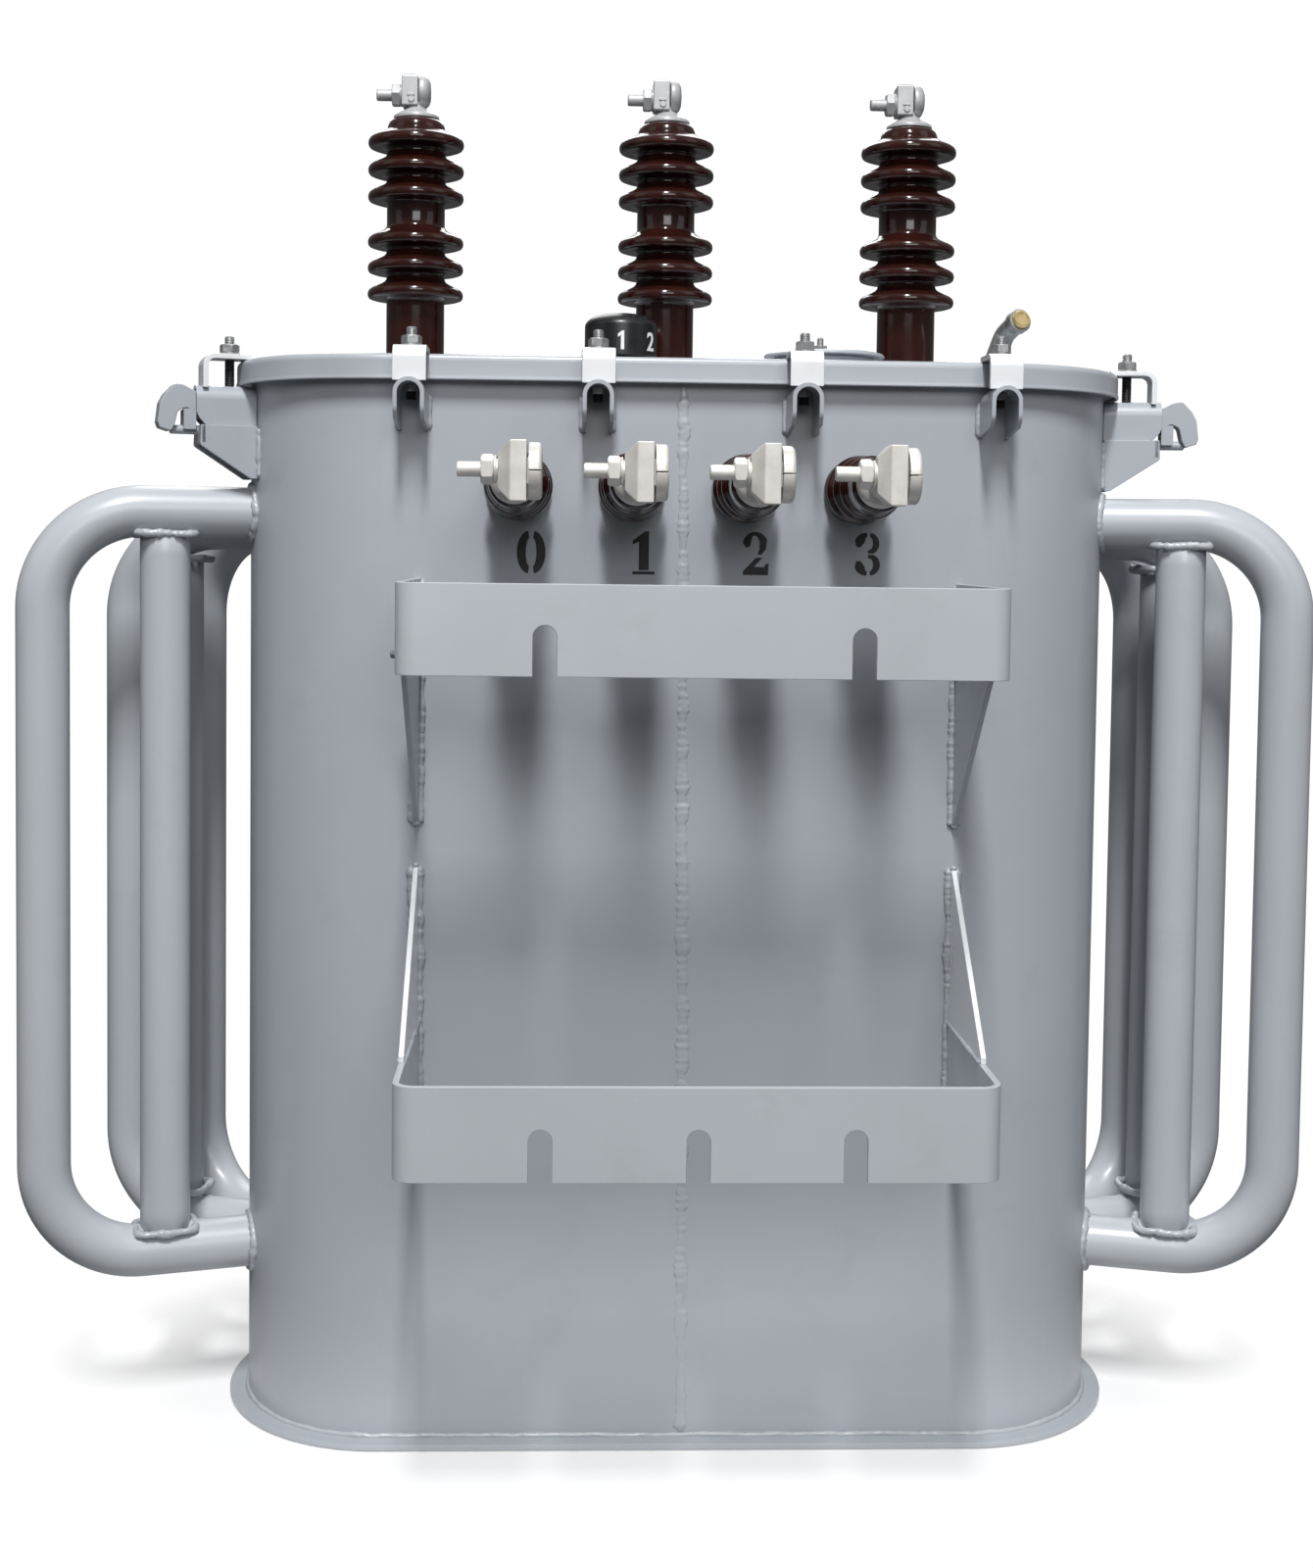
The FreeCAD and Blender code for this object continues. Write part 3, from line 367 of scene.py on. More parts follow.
def thread(r, z0, z1, pitch=1.5, n=28, depth=None):
    depth = depth or pitch * 0.45
    rows = int((z1 - z0) / pitch * 6)
    v, f = [], []
    for i in range(rows + 1):
        z = z0 + (z1 - z0) * i / rows
        for k in range(n):
            ph = (z / pitch - k / n) % 1.0
            d = depth * abs(ph * 2 - 1)
            tip = max(0.0, 1.5 - (z1 - z)) * 0.9
            rr = min(r - d, r - tip)
            a = 2 * math.pi * k / n
            v.append((rr * math.cos(a), rr * math.sin(a), z))
    for i in range(rows):
        for k in range(n):
            j = (k + 1) % n
            f.append((i * n + k, i * n + j, (i + 1) * n + j, (i + 1) * n + k))
    f.append(tuple(reversed(range(n))))
    f.append(tuple(range(rows * n, rows * n + n)))
    return v, f


def frames(pts, closed=False):
    p = np.array(pts, float)
    if closed:
        t = np.roll(p, -1, 0) - np.roll(p, 1, 0)
    else:
        t = np.gradient(p, axis=0)
    t /= np.linalg.norm(t, axis=1)[:, None] + 1e-12
    a = np.array([0, 0, 1.0]) if abs(t[0][2]) < 0.9 else np.array([1.0, 0, 0])
    n = np.cross(t[0], a)
    n /= np.linalg.norm(n)
    ns = [n]
    for i in range(1, len(p)):
        n = n - t[i] * (n @ t[i])
        n /= np.linalg.norm(n) + 1e-12
        ns.append(n)
    ns = np.array(ns)
    return p, t, ns, np.cross(t, ns)


def tube(pts, r, n=48, closed=False):
    p, t, a, b = frames(pts, closed)
    m = len(p)
    rr = np.full(m, float(r)) if np.isscalar(r) else np.array(r, float)
    an = np.arange(n) * 2 * math.pi / n
    v = (p[:, None, :] + rr[:, None, None] * (np.cos(an)[None, :, None] * a[:, None, :] + np.sin(an)[None, :, None] * b[:, None, :])).reshape(-1, 3)
    f = []
    for i in range(m if closed else m - 1):
        i2 = (i + 1) % m
        for k in range(n):
            j = (k + 1) % n
            f.append((i * n + k, i * n + j, i2 * n + j, i2 * n + k))
    if not closed:
        f.append(tuple(reversed(range(n))))
        f.append(tuple(range((m - 1) * n, m * n)))
    return v.tolist(), f


def resample(pts, step, closed=False):
    p = np.array(pts, float)
    if closed:
        p = np.vstack([p, p[:1]])
    d = np.concatenate([[0], np.cumsum(np.linalg.norm(np.diff(p, axis=0), axis=1))])
    m = max(4, int(round(d[-1] / step)))
    s = np.linspace(0, d[-1], m + 1)
    q = np.stack([np.interp(s, d, p[:, k]) for k in range(3)], 1)
    return (q[:-1], s[:-1]) if closed else (q, s)


def nz(x, y=0.0, z=0.0):
    return noise.noise(V((x, y, z)))


def bead(pts, r, seed, closed=False, step=1.9, n=10, lump=0.22, ripple=0.16, pitch=5.0, normal=None, flat=1.0):
    """A run of weld: a rounded ridge with overlapping ripples and uneven width. normal and flat give a low, wide one."""
    q, s = resample(pts, step, closed)
    p, t, a, b = frames(q, closed)
    if normal is not None:
        nn = np.array(normal, float) if np.ndim(normal) > 1 else np.repeat(np.array([normal], float), len(p), 0)
        if len(nn) != len(p):
            nn = np.repeat(nn[:1], len(p), 0)
        a = nn
        b = np.cross(t, a)
    total = s[-1] + step
    v = []
    for i in range(len(p)):
        si = s[i]
        ph = (si / pitch + 0.35 * nz(si * 0.11, seed * 3.1)) % 1.0
        k = 1 + lump * nz(si * 0.055, seed * 7.7) * 2 + lump * 0.6 * nz(si * 0.21, seed * 1.3) * 2 + ripple * (ph - 0.5)
        if not closed:
            k *= min(1.0, 0.35 + min(si, total - si) / (r * 1.6))
        off = b[i] * r * 0.18 * nz(si * 0.05, seed * 5.5) * 2
        for j in range(n):
            an = 2 * math.pi * j / n
            w = 1 + 0.13 * nz(si * 0.30, math.cos(an) * 1.3 + seed, math.sin(an) * 1.3) * 2
            v.append(tuple(p[i] + off + r * k * w * (math.cos(an) * a[i] * flat + math.sin(an) * b[i])))
    f = []
    m = len(p)
    for i in range(m if closed else m - 1):
        i2 = (i + 1) % m
        for j in range(n):
            h = (j + 1) % n
            f.append((i * n + j, i * n + h, i2 * n + h, i2 * n + j))
    if not closed:
        f.append(tuple(reversed(range(n))))
        f.append(tuple(range((m - 1) * n, m * n)))
    return v, f


def stadium(half, r, z, n=48):
    """Oblong outline points, counter-clockwise, with extra points on the straight runs."""
    out = []
    for k in range(n + 1):
        a = -math.pi / 2 + math.pi * k / n
        out.append((half + r * math.cos(a), r * math.sin(a), z))
    for k in range(1, 12):
        out.append((half - 2 * half * k / 12, r, z))
    for k in range(n + 1):
        a = math.pi / 2 + math.pi * k / n
        out.append((-half + r * math.cos(a), r * math.sin(a), z))
    for k in range(1, 12):
        out.append((-half + 2 * half * k / 12, -r, z))
    return out


def oblong(prof, half, cap_low=True, cap_high=True, loop=False):
    """Profile (r, z) carried round the tank's oblong."""
    rings, v, f = [], [], []
    for r, z in prof:
        pts = stadium(half, r, z)
        rings.append(range(len(v), len(v) + len(pts)))
        v += pts
    pairs = list(zip(rings, rings[1:])) + ([(rings[-1], rings[0])] if loop else [])
    m = len(rings[0])
    for a, b in pairs:
        for k in range(m):
            j = (k + 1) % m
            f.append((a[k], a[j], b[j], b[k]))
    if not loop:
        if cap_low:
            f.append(tuple(reversed(rings[0])))
        if cap_high:
            f.append(tuple(rings[-1]))
    return v, f


def boolean(a, b, op="DIFFERENCE"):
    """Mesh lists a with b cut away."""
    objs = []
    for v, f in (a, b):
        me = bpy.data.meshes.new("tmp")
        me.from_pydata(v, [], f)
        o = bpy.data.objects.new("tmp", me)
        bpy.context.scene.collection.objects.link(o)
        objs.append(o)
    md = objs[0].modifiers.new("b", "BOOLEAN")
    md.object, md.operation, md.solver = objs[1], op, "EXACT"
    bpy.context.view_layer.update()
    me = objs[0].evaluated_get(bpy.context.evaluated_depsgraph_get()).to_mesh()
    out = [tuple(x.co) for x in me.vertices], [tuple(q.vertices) for q in me.polygons]
    for o in objs:
        bpy.data.objects.remove(o)
    return out


YZX = Matrix(((0, 0, 1, 0), (1, 0, 0, 0), (0, 1, 0, 0), (0, 0, 0, 1)))

# ------------------------------------------------------------------ sizes from the frame
t0, t1 = nb("tank_shell")
RAD = t1.y
HALF = t1.x - RAD
TOP = t1.z
b0, b1 = nb("base_plate")
l0, l1 = nb("lid")

# tank, rim, gasket stay as the frame has them, with their finish
for n_, m_ in (("tank_shell", "paint"), ("tank_rim", "paint"), ("lid_gasket", "rubber"), ("core_and_oil_fill", "dark")):
    me = NODES[n_].data
    me.materials.clear()
    me.materials.append(M[m_])

# base plate with eased edges, and the fillet weld round the foot
e = 1.3
g = Geo().add(oblong([(b1.y - e, 0), (b1.y - 0.3, 0.5), (b1.y, e), (b1.y, b1.z - e), (b1.y - 0.4, b1.z - 0.4), (b1.y - e, b1.z)], HALF))
g.obj("base_plate_eased", "paint", ["base_plate"])
W = Geo()
W.add(bead(stadium(HALF, RAD + 0.5, b1.z + 0.4, 60), 3.0, 1, closed=True, step=2.4, n=9, lump=0.12, ripple=0.10, pitch=6))
W.obj("foot_weld", "weld", angle=80, wn=False)

# lid: rounded top edge, slightly turned-in lower lip, hollow below
lr = l1.y
g = Geo()
g.add(oblong([(lr - 60, l1.z - 4), (lr - 6, l1.z - 4), (lr - 3.6, l1.z - 6), (lr - 3.6, l0.z + 0.8), (lr - 3.0, l0.z), (lr - 0.8, l0.z), (lr - 0.2, l0.z + 0.9),
              (lr - 0.2, l0.z + 3.0), (lr - 0.9, l0.z + 4.4), (lr - 0.9, l1.z - 6.5), (lr - 1.1, l1.z - 4.2), (lr - 1.9, l1.z - 2.2), (lr - 3.4, l1.z - 0.8), (lr - 5.6, l1.z - 0.15),
              (lr - 8.5, l1.z), (lr - 60, l1.z)], HALF))
g.obj("lid_pressed", "paint", ["lid"])

# seam welds down the front and back
W = Geo()
for sy, sd in ((-1, 2), (1, 3)):
    pts = [(6.5 - 9.5 * (z - b1.z) / 960.0 + 1.6 * nz(z * 0.004, sd), sy * (RAD - 0.4), z) for z in np.linspace(b1.z + 3, TOP - 12, 60)]
    W.add(bead(pts if sy < 0 else pts[::-1], 5.4, sd, step=1.7, n=14, lump=0.24, ripple=0.20, pitch=7.5, normal=(0, sy, 0), flat=0.28))
W.obj("seam_welds", "weld", angle=80, wn=False)

# ------------------------------------------------------------------ high voltage bushings
HV = ["hv_porcelain_1", "hv_porcelain_2", "hv_porcelain_3"]
sheds = [76.5, 102.7, 128.9, 174.1, 200.9, 228.0]
core, shed = 29.2, 48.2


def hv_profile(z0, ztop, zlow):
    z = lambda x: z0 + x
    p = [(0, zlow), (27.6, zlow), (27.9, zlow + 1), (27.9, z(-1)), (core, z(0)), (core, z(60))]
    for k, s in enumerate(sheds):
        c = core if s != sheds[3] else core
        # underside: leaves the core in a fillet, dishes out to a drip edge; top: long convex slope back to the core
        p += [(c, z(s - 11.0)), (c + 0.8, z(s - 9.0)), (c + 2.6, z(s - 7.6)), (c + 6.0, z(s - 7.0)), (c + 11.0, z(s - 7.2)), (shed - 3.6, z(s - 7.6)), (shed - 1.5, z(s - 6.9)),
              (shed - 0.4, z(s - 5.2)), (shed, z(s - 2.8)), (shed - 0.4, z(s - 0.4)), (shed - 1.6, z(s + 1.5)), (shed - 4.0, z(s + 3.2)), (shed - 8.5, z(s + 5.2)),
              (shed - 12.5, z(s + 7.2)), (c + 2.6, z(s + 9.4)), (c + 0.9, z(s + 11.6)), (c, z(s + 13.8))]
    top = ztop
    p = [q for q in p if q[1] < top - 12]
    p += [(core, top - 11), (core - 0.6, top - 7), (core - 2.2, top - 3.6), (core - 5.0, top - 1.2), (core - 8, top), (0, top)]
    q = [p[0]]
    for a in p[1:]:
        if a[1] > q[-1][1] - 6.5:
            q.append(a)
    return q


HVX = []
for i, n_ in enumerate(HV):
    a, b = nb(n_)
    cx = (a.x + b.x) / 2
    HVX.append(cx)
    Geo().add(rev(hv_profile(l1.z, b.z, a.z), 96), T(cx, 0, 0)).obj("hv_bushing_%d" % (i + 1), "porcelain", [n_], angle=50, wn=False)
    HTOP = b.z
g = Geo()
for cx in HVX:
    g.add(ring([(30.0, l1.z), (35.0, l1.z), (35.5, l1.z + 0.6), (35.5, l1.z + 4.6), (34.6, l1.z + 6.6), (33.0, l1.z + 7.8), (31.2, l1.z + 8.0), (30.0, l1.z + 7.2)], 72), T(cx, 0, 0))
g.obj("hv_collars", "paint", ["hv_clamp_rings"])

head, stud = Geo(), Geo()
for cx in HVX:
    m = T(cx, 0, HTOP)
    head.add(rev([(0, 0), (22.6, 0), (23, 0.6), (23, 2.6), (22.4, 3.6), (19.5, 5.6), (14.0, 8.4), (10.6, 11.0), (9.4, 13.6), (9.2, 17), (0, 17)], 64), m)
    bm = prism_bm([(-14.3, -12.6), (2.2, -12.6), (2.2, 12.6), (-14.3, 12.6)], 13.0, 44.3)
    bmesh.ops.bevel(bm, geom=[e_ for e_ in bm.edges if abs(e_.verts[0].co.z - e_.verts[1].co.z) < 1 and e_.verts[0].co.z > 40], offset=3.4, segments=4, profile=0.5, affect="EDGES")
    head.add(to_vf(soften(bm, 1.2)), m)
    head.add(rev([(0, 0), (14.2, 0), (15.9, 0.5), (16.4, 1.6), (16.4, 4.0), (15.7, 6.9), (13.6, 9.4), (9.8, 11.0), (0, 11.8)], 64), m @ T(2.9, 0, 28.0, axis="+X"))
    # pinch screw and a thin raised pad on the front of the block
    head.add(rev([(0, 0), (3.2, 0), (3.2, 1.0), (2.6, 1.6), (0, 1.6)], 24), m @ T(-4.6, -12.6, 18.6, axis="-Y"))
    head.add(block(-8.6, -1.4, -13.9, -12.6, 22.0, 24.4, 0.4), m)
    s = m @ T(-14.3, 0, 24.5, axis="-X")
    stud.add(washer(11.4, 1.6), s)
    stud.add(hexa(11.9, 8.6, 1.6, math.pi / 6), s)
    stud.add(rev([(0, 0), (6.0, 0), (6.0, 24.6), (5.2, 25.8), (0, 25.8)], 32), s)
head.obj("hv_clamp_heads", "alloy", ["hv_terminals"])
stud.obj("hv_studs_and_nuts", "alloy", ["hv_terminal_studs"])

# ------------------------------------------------------------------ low voltage bushings
LV = ["lv_porcelain_%d" % k for k in range(4)]
LVX = []
for i, n_ in enumerate(LV):
    a, b = nb(n_)
    cx, cz = (a.x + b.x) / 2, (a.z + b.z) / 2
    LVX.append(cx)
    Lf = -a.y - RAD
    sh, co = 32.4, 23.8
    pr_ = [(0, -20), (19.4, -20), (19.4, 0), (30.6, 0), (30.9, 1.2), (30.9, 7.6), (29.6, 10.6), (26.5, 14.0), (co, 18), (co, 27)]
    for s, sr in ((34, sh), (66, sh - 1.6), (100, sh - 3.2)):
        pr_ += [(co, s - 8), (co + 1.0, s - 5.4), (co + 3.2, s - 4.4), (sr - 2.0, s - 4.0), (sr - 0.5, s - 2.8), (sr, s - 1.0), (sr - 0.6, s + 1.2), (sr - 2.4, s + 3.0),
                (co + 3.4, s + 5.6), (co + 1.2, s + 8.4), (co, s + 12)]
    pr_ += [(co, Lf - 10), (co - 0.8, Lf - 4), (co - 3.6, Lf - 0.8), (co - 6, Lf), (0, Lf)]
    Geo().add(rev(pr_, 80), T(cx, -RAD, cz, axis="-Y")).obj("lv_bushing_%d" % i, "porcelain", [n_], angle=50, wn=False)
    LY = a.y
head, stud = Geo(), Geo()
for cx in LVX:
    m = T(cx, LY, cz)
    y = T(0, 0, 1.0, axis="-Y")
    head.add(rev([(0, -0.5), (20.4, -0.5), (21, 0.2), (21, 6.5), (20.0, 9.6), (17.6, 12.4), (13.5, 14.6), (12.5, 17), (12.5, 40), (0, 40)], 64), m @ y)
    # left half of the clamp: a block whose four left edges are cut back into facets
    bm = prism_bm([(-12.3, -37), (12.2, -37), (12.2, -71.6), (-12.3, -71.6)], -18.6, 32.6)
    es = [e_ for e_ in bm.edges if e_.verts[0].co.x < -12 and e_.verts[1].co.x < -12]
    bmesh.ops.bevel(bm, geom=es, offset=10.4, segments=1, profile=0.5, affect="EDGES")
    head.add(to_vf(soften(bm, 1.0, 2, 20)), m)
    # right half: a thick disc, split across its middle
    dz_, dr_ = 7.0, 24.3
    for sg in (1, -1):
        pts = [(dr_ * math.cos(math.radians(q_)), dr_ * math.sin(math.radians(q_)) * sg) for q_ in np.linspace(1.3, 178.7, 33)]
        bm = prism_bm(pts if sg > 0 else pts[::-1], 13.8, 24.8)
        es = [e_ for e_ in bm.edges if e_.verts[0].co.z > 24 and e_.verts[1].co.z > 24 and (abs(e_.verts[0].co.y) > 1.0 or abs(e_.verts[1].co.y) > 1.0)]
        bmesh.ops.bevel(bm, geom=es, offset=3.6, segments=4, profile=0.5, affect="EDGES", clamp_overlap=True)
        head.add(to_vf(soften(bm, 0.4, 1, 50)), m @ T(0, -50, dz_) @ YZX)
    head.add(block(11.5, 14.5, -62, -40, -4, 18, 0.3), m)
    s = m @ T(-12.3, -55, 8, axis="-X")
    stud.add(rev([(0, 0), (9.2, 0), (9.2, 1.3), (0, 1.3)], 40), s)
    stud.add(washer(12.0, 2.0, 1.3), s)
    stud.add(hexa(12.9, 10.9, 3.5, 0.0), s)
    stud.add(rev([(0, 0), (6.45, 0), (6.45, 33.2), (5.7, 34.5), (0, 34.5)], 40), s)
head.obj("lv_clamp_heads", "tin", ["lv_terminals"])
stud.obj("lv_studs_and_nuts", "tin", ["lv_terminal_studs"])

# ------------------------------------------------------------------ pole brackets
AX0, AX1 = nb("upper_bracket")[0].x, nb("upper_bracket")[1].x
FACE = nb("upper_bracket")[0].y
TH, RO = 6.0, 18.0


def bracket(zl, zh, slots, slot_top, rs=10.2):
    L1 = -RAD - (FACE + RO)
    A = math.pi / 2 * RO
    F = (AX1 - AX0) - 2 * RO
    S = 2 * L1 + 2 * A + F
    low = []
    for x in slots:
        s = L1 + A + x - (AX0 + RO)
        low += [(s - rs, zl)] + [(s - rs * math.cos(math.pi * k / 14), slot_top - rs + rs * math.sin(math.pi * k / 14)) for k in range(15)] + [(s + rs, zl)]
    poly = [(0, zl)] + low + [(S, zl), (S, zh), (0, zh)]
    bm = prism_bm(poly, 0, TH)
    soften(bm, 0.9, 2, 40)
    for c in [L1 + A * k / 10 for k in range(11)] + [L1 + A + F + A * k / 10 for k in range(11)]:
        bmesh.ops.bisect_plane(bm, geom=bm.verts[:] + bm.edges[:] + bm.faces[:], plane_co=(c, 0, 0), plane_no=(1, 0, 0))
    bmesh.ops.triangulate(bm, faces=[f_ for f_ in bm.faces if len(f_.verts) > 8])
    for v_ in bm.verts:
        s, z, t = v_.co
        if s <= L1:
            p, n_ = (AX0, -RAD - s), (1, 0)
        elif s <= L1 + A:
            a = (s - L1) / RO
            p, n_ = (AX0 + RO - RO * math.cos(a), FACE + RO - RO * math.sin(a)), (math.cos(a), math.sin(a))
        elif s <= L1 + A + F:
            p, n_ = (AX0 + RO + s - L1 - A, FACE), (0, 1)
        elif s <= L1 + 2 * A + F:
            a = (s - L1 - A - F) / RO
            p, n_ = (AX1 - RO + RO * math.sin(a), FACE + RO - RO * math.cos(a)), (-math.sin(a), math.cos(a))
        else:
            p, n_ = (AX1, FACE + RO + s - L1 - 2 * A - F), (-1, 0)
        v_.co = (p[0] + n_[0] * t, p[1] + n_[1] * t, z)
    r = to_vf(bm)
    bm.free()
    return r


u0, u1 = nb("upper_bracket")
w0, w1 = nb("lower_bracket")
axm, pit = (AX0 + AX1) / 2, 134.2
# both pole brackets take the lightened bracket paint, a painted sheen
Geo().add(bracket(u0.z, u1.z, [axm - pit, axm + pit], 802.2)).obj("upper_pole_bracket", "plate", ["upper_bracket"])
Geo().add(bracket(w0.z, w1.z, [axm - pit, axm, axm + pit], 375.9)).obj("lower_pole_bracket", "plate", ["lower_bracket"])
ug0, ug1 = nb("upper_gussets")
lg0, lg1 = nb("lower_gussets")
gu, gl, W = Geo(), Geo(), Geo()
for x, sd in ((AX0, 11), (AX1 - 5, 17)):
    mx = T(x) @ YZX
    gu.add(prism(fillet([(-RAD, u0.z), (ug0.y, u0.z), (ug0.y, u0.z - 4), (-RAD - 3, ug0.z), (-RAD, ug0.z)], [0, 0, 1.5, 1.5, 0], 3), 0, 5, 0.8, 2, 35), mx)
    gl.add(prism(fillet([(-RAD, w1.z), (lg0.y, w1.z), (lg0.y, w1.z + 6), (-RAD - 3, lg1.z), (-RAD, lg1.z)], [0, 0, 1.5, 1.5, 0], 3), 0, 5, 0.8, 2, 35), mx)
    for side in (0.0, 5.0):
        o = -1.2 if side == 0 else 1.2
        top = [(x + side + o, -RAD - 1.2, z) for z in (u1.z - 1, u0.z, ug0.z + 2)]
        W.add(bead(top, 3.6, sd + side, step=1.9, lump=0.20, ripple=0.22))
        bot = [(x + side + o, -RAD - 1.2, z) for z in (lg1.z - 1, w1.z, w0.z + 1)]
        W.add(bead(bot, 3.8, sd + 2 + side, step=1.9, lump=0.24, ripple=0.24))
        arm = [(x + side + o * 0.4, y_, w1.z + 0.6) for y_ in (-RAD - 4, lg0.y + 4)]
        W.add(bead(arm, 2.2, sd + 4 + side, step=2.0, lump=0.25))
        arm = [(x + side + o * 0.4, y_, u0.z - 0.6) for y_ in (-RAD - 4, ug0.y + 4)]
        W.add(bead(arm, 2.0, sd + 5 + side, step=2.0, lump=0.25))
    cap = [(x + 2.5, -RAD - 1, lg1.z + 0.4), (x + 2.5, -RAD - 5, lg1.z - 3.0)]
    W.add(bead(cap, 4.4, sd + 6, step=1.2, lump=0.1))
    cap = [(x + 2.5, -RAD - 1, ug0.z - 0.4), (x + 2.5, -RAD - 5, ug0.z + 3.0)]
    W.add(bead(cap, 4.0, sd + 7, step=1.2, lump=0.1))
gu.obj("upper_gusset_plates", "paint", ["upper_gussets"])
# the lower gussets take the strap's lightened paint, a painted highlight
gl.obj("lower_gusset_plates", "strap", ["lower_gussets"])
W.obj("bracket_welds", "weld", angle=80, wn=False)
g0, g1 = nb("ground_bolt")
gy, gz = (g0.y + g1.y) / 2, (g0.z + g1.z) / 2
g = Geo()
mx = T(AX0, gy, gz, axis="-X")
g.add(washer(9.3, 1.8), mx).add(hexa(8.8, 6.4, 1.8), mx).add(thread(3.9, 0, 15, 1.25, 24), mx)
g.obj("ground_terminal", "zinc", ["ground_bolt"])

# ------------------------------------------------------------------ lid clamps
s0, s1 = nb("clamp_straps")
k0, k1 = nb("clamp_lugs")
CX = [-259.0, -85.2, 108.3, 293.2]
SO, ST, SL = 52.0, 5.0, s0.z
LT, LD, LF, LB, LW = k1.z, 58.0, 995.0, k0.z, 14.5
SPOTS = [T(x, -RAD, 0) for x in CX] + [T(x, RAD, 0, 180) for x in CX]
EA = [(-1, math.radians(20)), (1, math.radians(8))]
ENDS = [T(s_ * (HALF + RAD * math.cos(a_)), -RAD * math.sin(a_), 0, s_ * 90 - s_ * math.degrees(a_)) for s_, a_ in EA]
# inverted U lug, its lower edges rising towards the front, with a V notch under the strap's foot
poly = [(LW * math.cos(math.pi * k / 20), LT - LW + LW * math.sin(math.pi * k / 20)) for k in range(21)] + [(-LW, LB - 2), (-LW + 4, LB - 2)]
poly += [(-(LW - 4) * math.cos(math.pi * k / 16), LT - LW + (LW - 4) * math.sin(math.pi * k / 16)) for k in range(17)] + [(LW - 4, LB - 2), (LW, LB - 2)]
bm = prism_bm(poly, 0, LD)
lug = to_vf(bm)
bm.free()
lug = [(p[0], -p[2], p[1]) for p in lug[0]], [tuple(reversed(q)) for q in lug[1]]
wedge = prism([(-SO - 5.0, LT + 3), (-SO + 1.0, SL - 0.4), (-SO + ST - 0.2, SL - 0.4), (-SO + ST + 5.0, LT + 3)], -40, 40, 0)
wedge = [(p[2], p[0], p[1]) for p in wedge[0]], wedge[1]
lug = boolean(lug, wedge)
under = prism([(-LD - 6, LF), (-LD, LF), (-LD + 2.4, LF - 5.5), (-LD + 8, LB + 7.2), (0.5, LB - 0.3), (0.5, LB - 9), (-LD - 6, LB - 9)], -40, 40, 0)
under = [(q_[2], q_[0], q_[1]) for q_ in under[0]], under[1]
lug = boolean(lug, under)
bm = bmesh.new()
vs = [bm.verts.new(p) for p in lug[0]]
for q in lug[1]:
    try:
        bm.faces.new([vs[i] for i in q])
    except ValueError:
        pass
bmesh.ops.remove_doubles(bm, verts=bm.verts, dist=0.01)
soften(bm, 0.8, 2, 40)
lug = to_vf(bm)
bm.free()
strap_poly = fillet([(-6, s1.z - ST), (-SO + ST, s1.z - ST), (-SO + ST, SL), (-SO, SL), (-SO, s1.z), (-6, s1.z)], [0, 7.0, 0, 0, 12.0, 0], 8)
bm = prism_bm(strap_poly, -15.5, 15.5)
for v_ in bm.verts:
    pass
soften(bm, 0.8, 2, 40)
strap = to_vf(bm)
bm.free()
strap = [(p[2], p[0], p[1]) for p in strap[0]], strap[1]
NY = -24.0
bolt, rod = Geo(), Geo()
bolt.add(thread(5.0, s1.z - 1, s1.z + 18, 1.6, 26), T(0, NY, 0))
rod.add(thread(5.0, LT - 19, s1.z - 0.6, 1.6, 20), T(0, NY, 0))
bolt.add(washer(10.4, 2.0, s1.z), T(0, NY, 0))
bolt.add(hexa(9.8, 8.0, s1.z + 2, 0.2), T(0, NY, 0))
bolt.add(hexa(8.8, 7.0, LT - 11.5, 0.4), T(0, NY, 0))
L, S_, Bz, Bd = Geo(), Geo(), Geo(), Geo()
for k, mx in enumerate(SPOTS + ENDS):
    L.add(lug, mx)
    S_.add(strap, mx @ T(0, 0, 0, 0.6 * math.sin(k * 2.3)))
    Bz.add(bolt.get(), mx @ T(0, NY, 0, 37 * k) @ T(0, -NY, 0))
    Bd.add(rod.get(), mx)
L.obj("clamp_lug_plates", "paint", ["clamp_lugs"])
# the straps take the lightened strap paint, a painted highlight
S_.obj("clamp_strap_plates", "strap", ["clamp_straps"])
Bz.obj("clamp_nuts_and_ends", "zinc", ["clamp_bolts"], angle=40)
Bd.obj("clamp_stud_shanks", "dark", angle=40)
# welds along the lugs' feet
W = Geo()
for k, mx in enumerate(SPOTS):
    for sx in (-1, 1):
        p = [(sx * (LW + 0.6), -0.8, LB + 1), (sx * (LW + 0.6), -0.8, LT - 12)]
        W.add(bead(p, 2.6, 40 + k * 2 + sx, step=1.9), mx)
W.obj("lug_welds", "weld", angle=80, wn=False)

# ------------------------------------------------------------------ lifting lugs
hook = Geo()
hp = fillet([(-58, 1015), (-70, 1021), (-78.5, 1022), (-88, 1012), (-92.7, 1003), (-95, 984.5), (-93, 979), (-82, 975.5), (-78.5, 982.5), (-75.6, 995.5), (-68, 999), (-58, 995.5)],
            [1, 4, 5, 4, 5, 3, 2, 3, 4, 6, 4, 1], 5)
X3 = Matrix(((0, 0, 1, 0), (1, 0, 0, 0), (0, 1, 0, 0), (0, 0, 0, 1)))
hook.add(prism(hp, -11, 11, 1.6, 3, 35), X3)
hook.add(prism(fillet([(-58, 978), (-70, 978), (-70, 998), (-58, 998)], 1.5, 3), -11, 11, 0.8), X3)
ck = fillet([(0, 982.5), (-55, 982.5), (-56, 963), (-7, 931), (0, 931)], [0, 2.5, 4, 4, 0], 4)
for x in (15, -21):
    hook.add(prism(ck, x, x + 6, 0.9, 2, 35), X3)
hook.add(block(-21, 21, -55, -50, 964.5, 982.5, 0.9))
hook.add(rev([(0, 0), (3.6, 0), (4.5, 0.9), (4.5, 31), (3.6, 32), (0, 32)], 28), T(0, -50, 978, axis="-Y"))
hk = Geo()
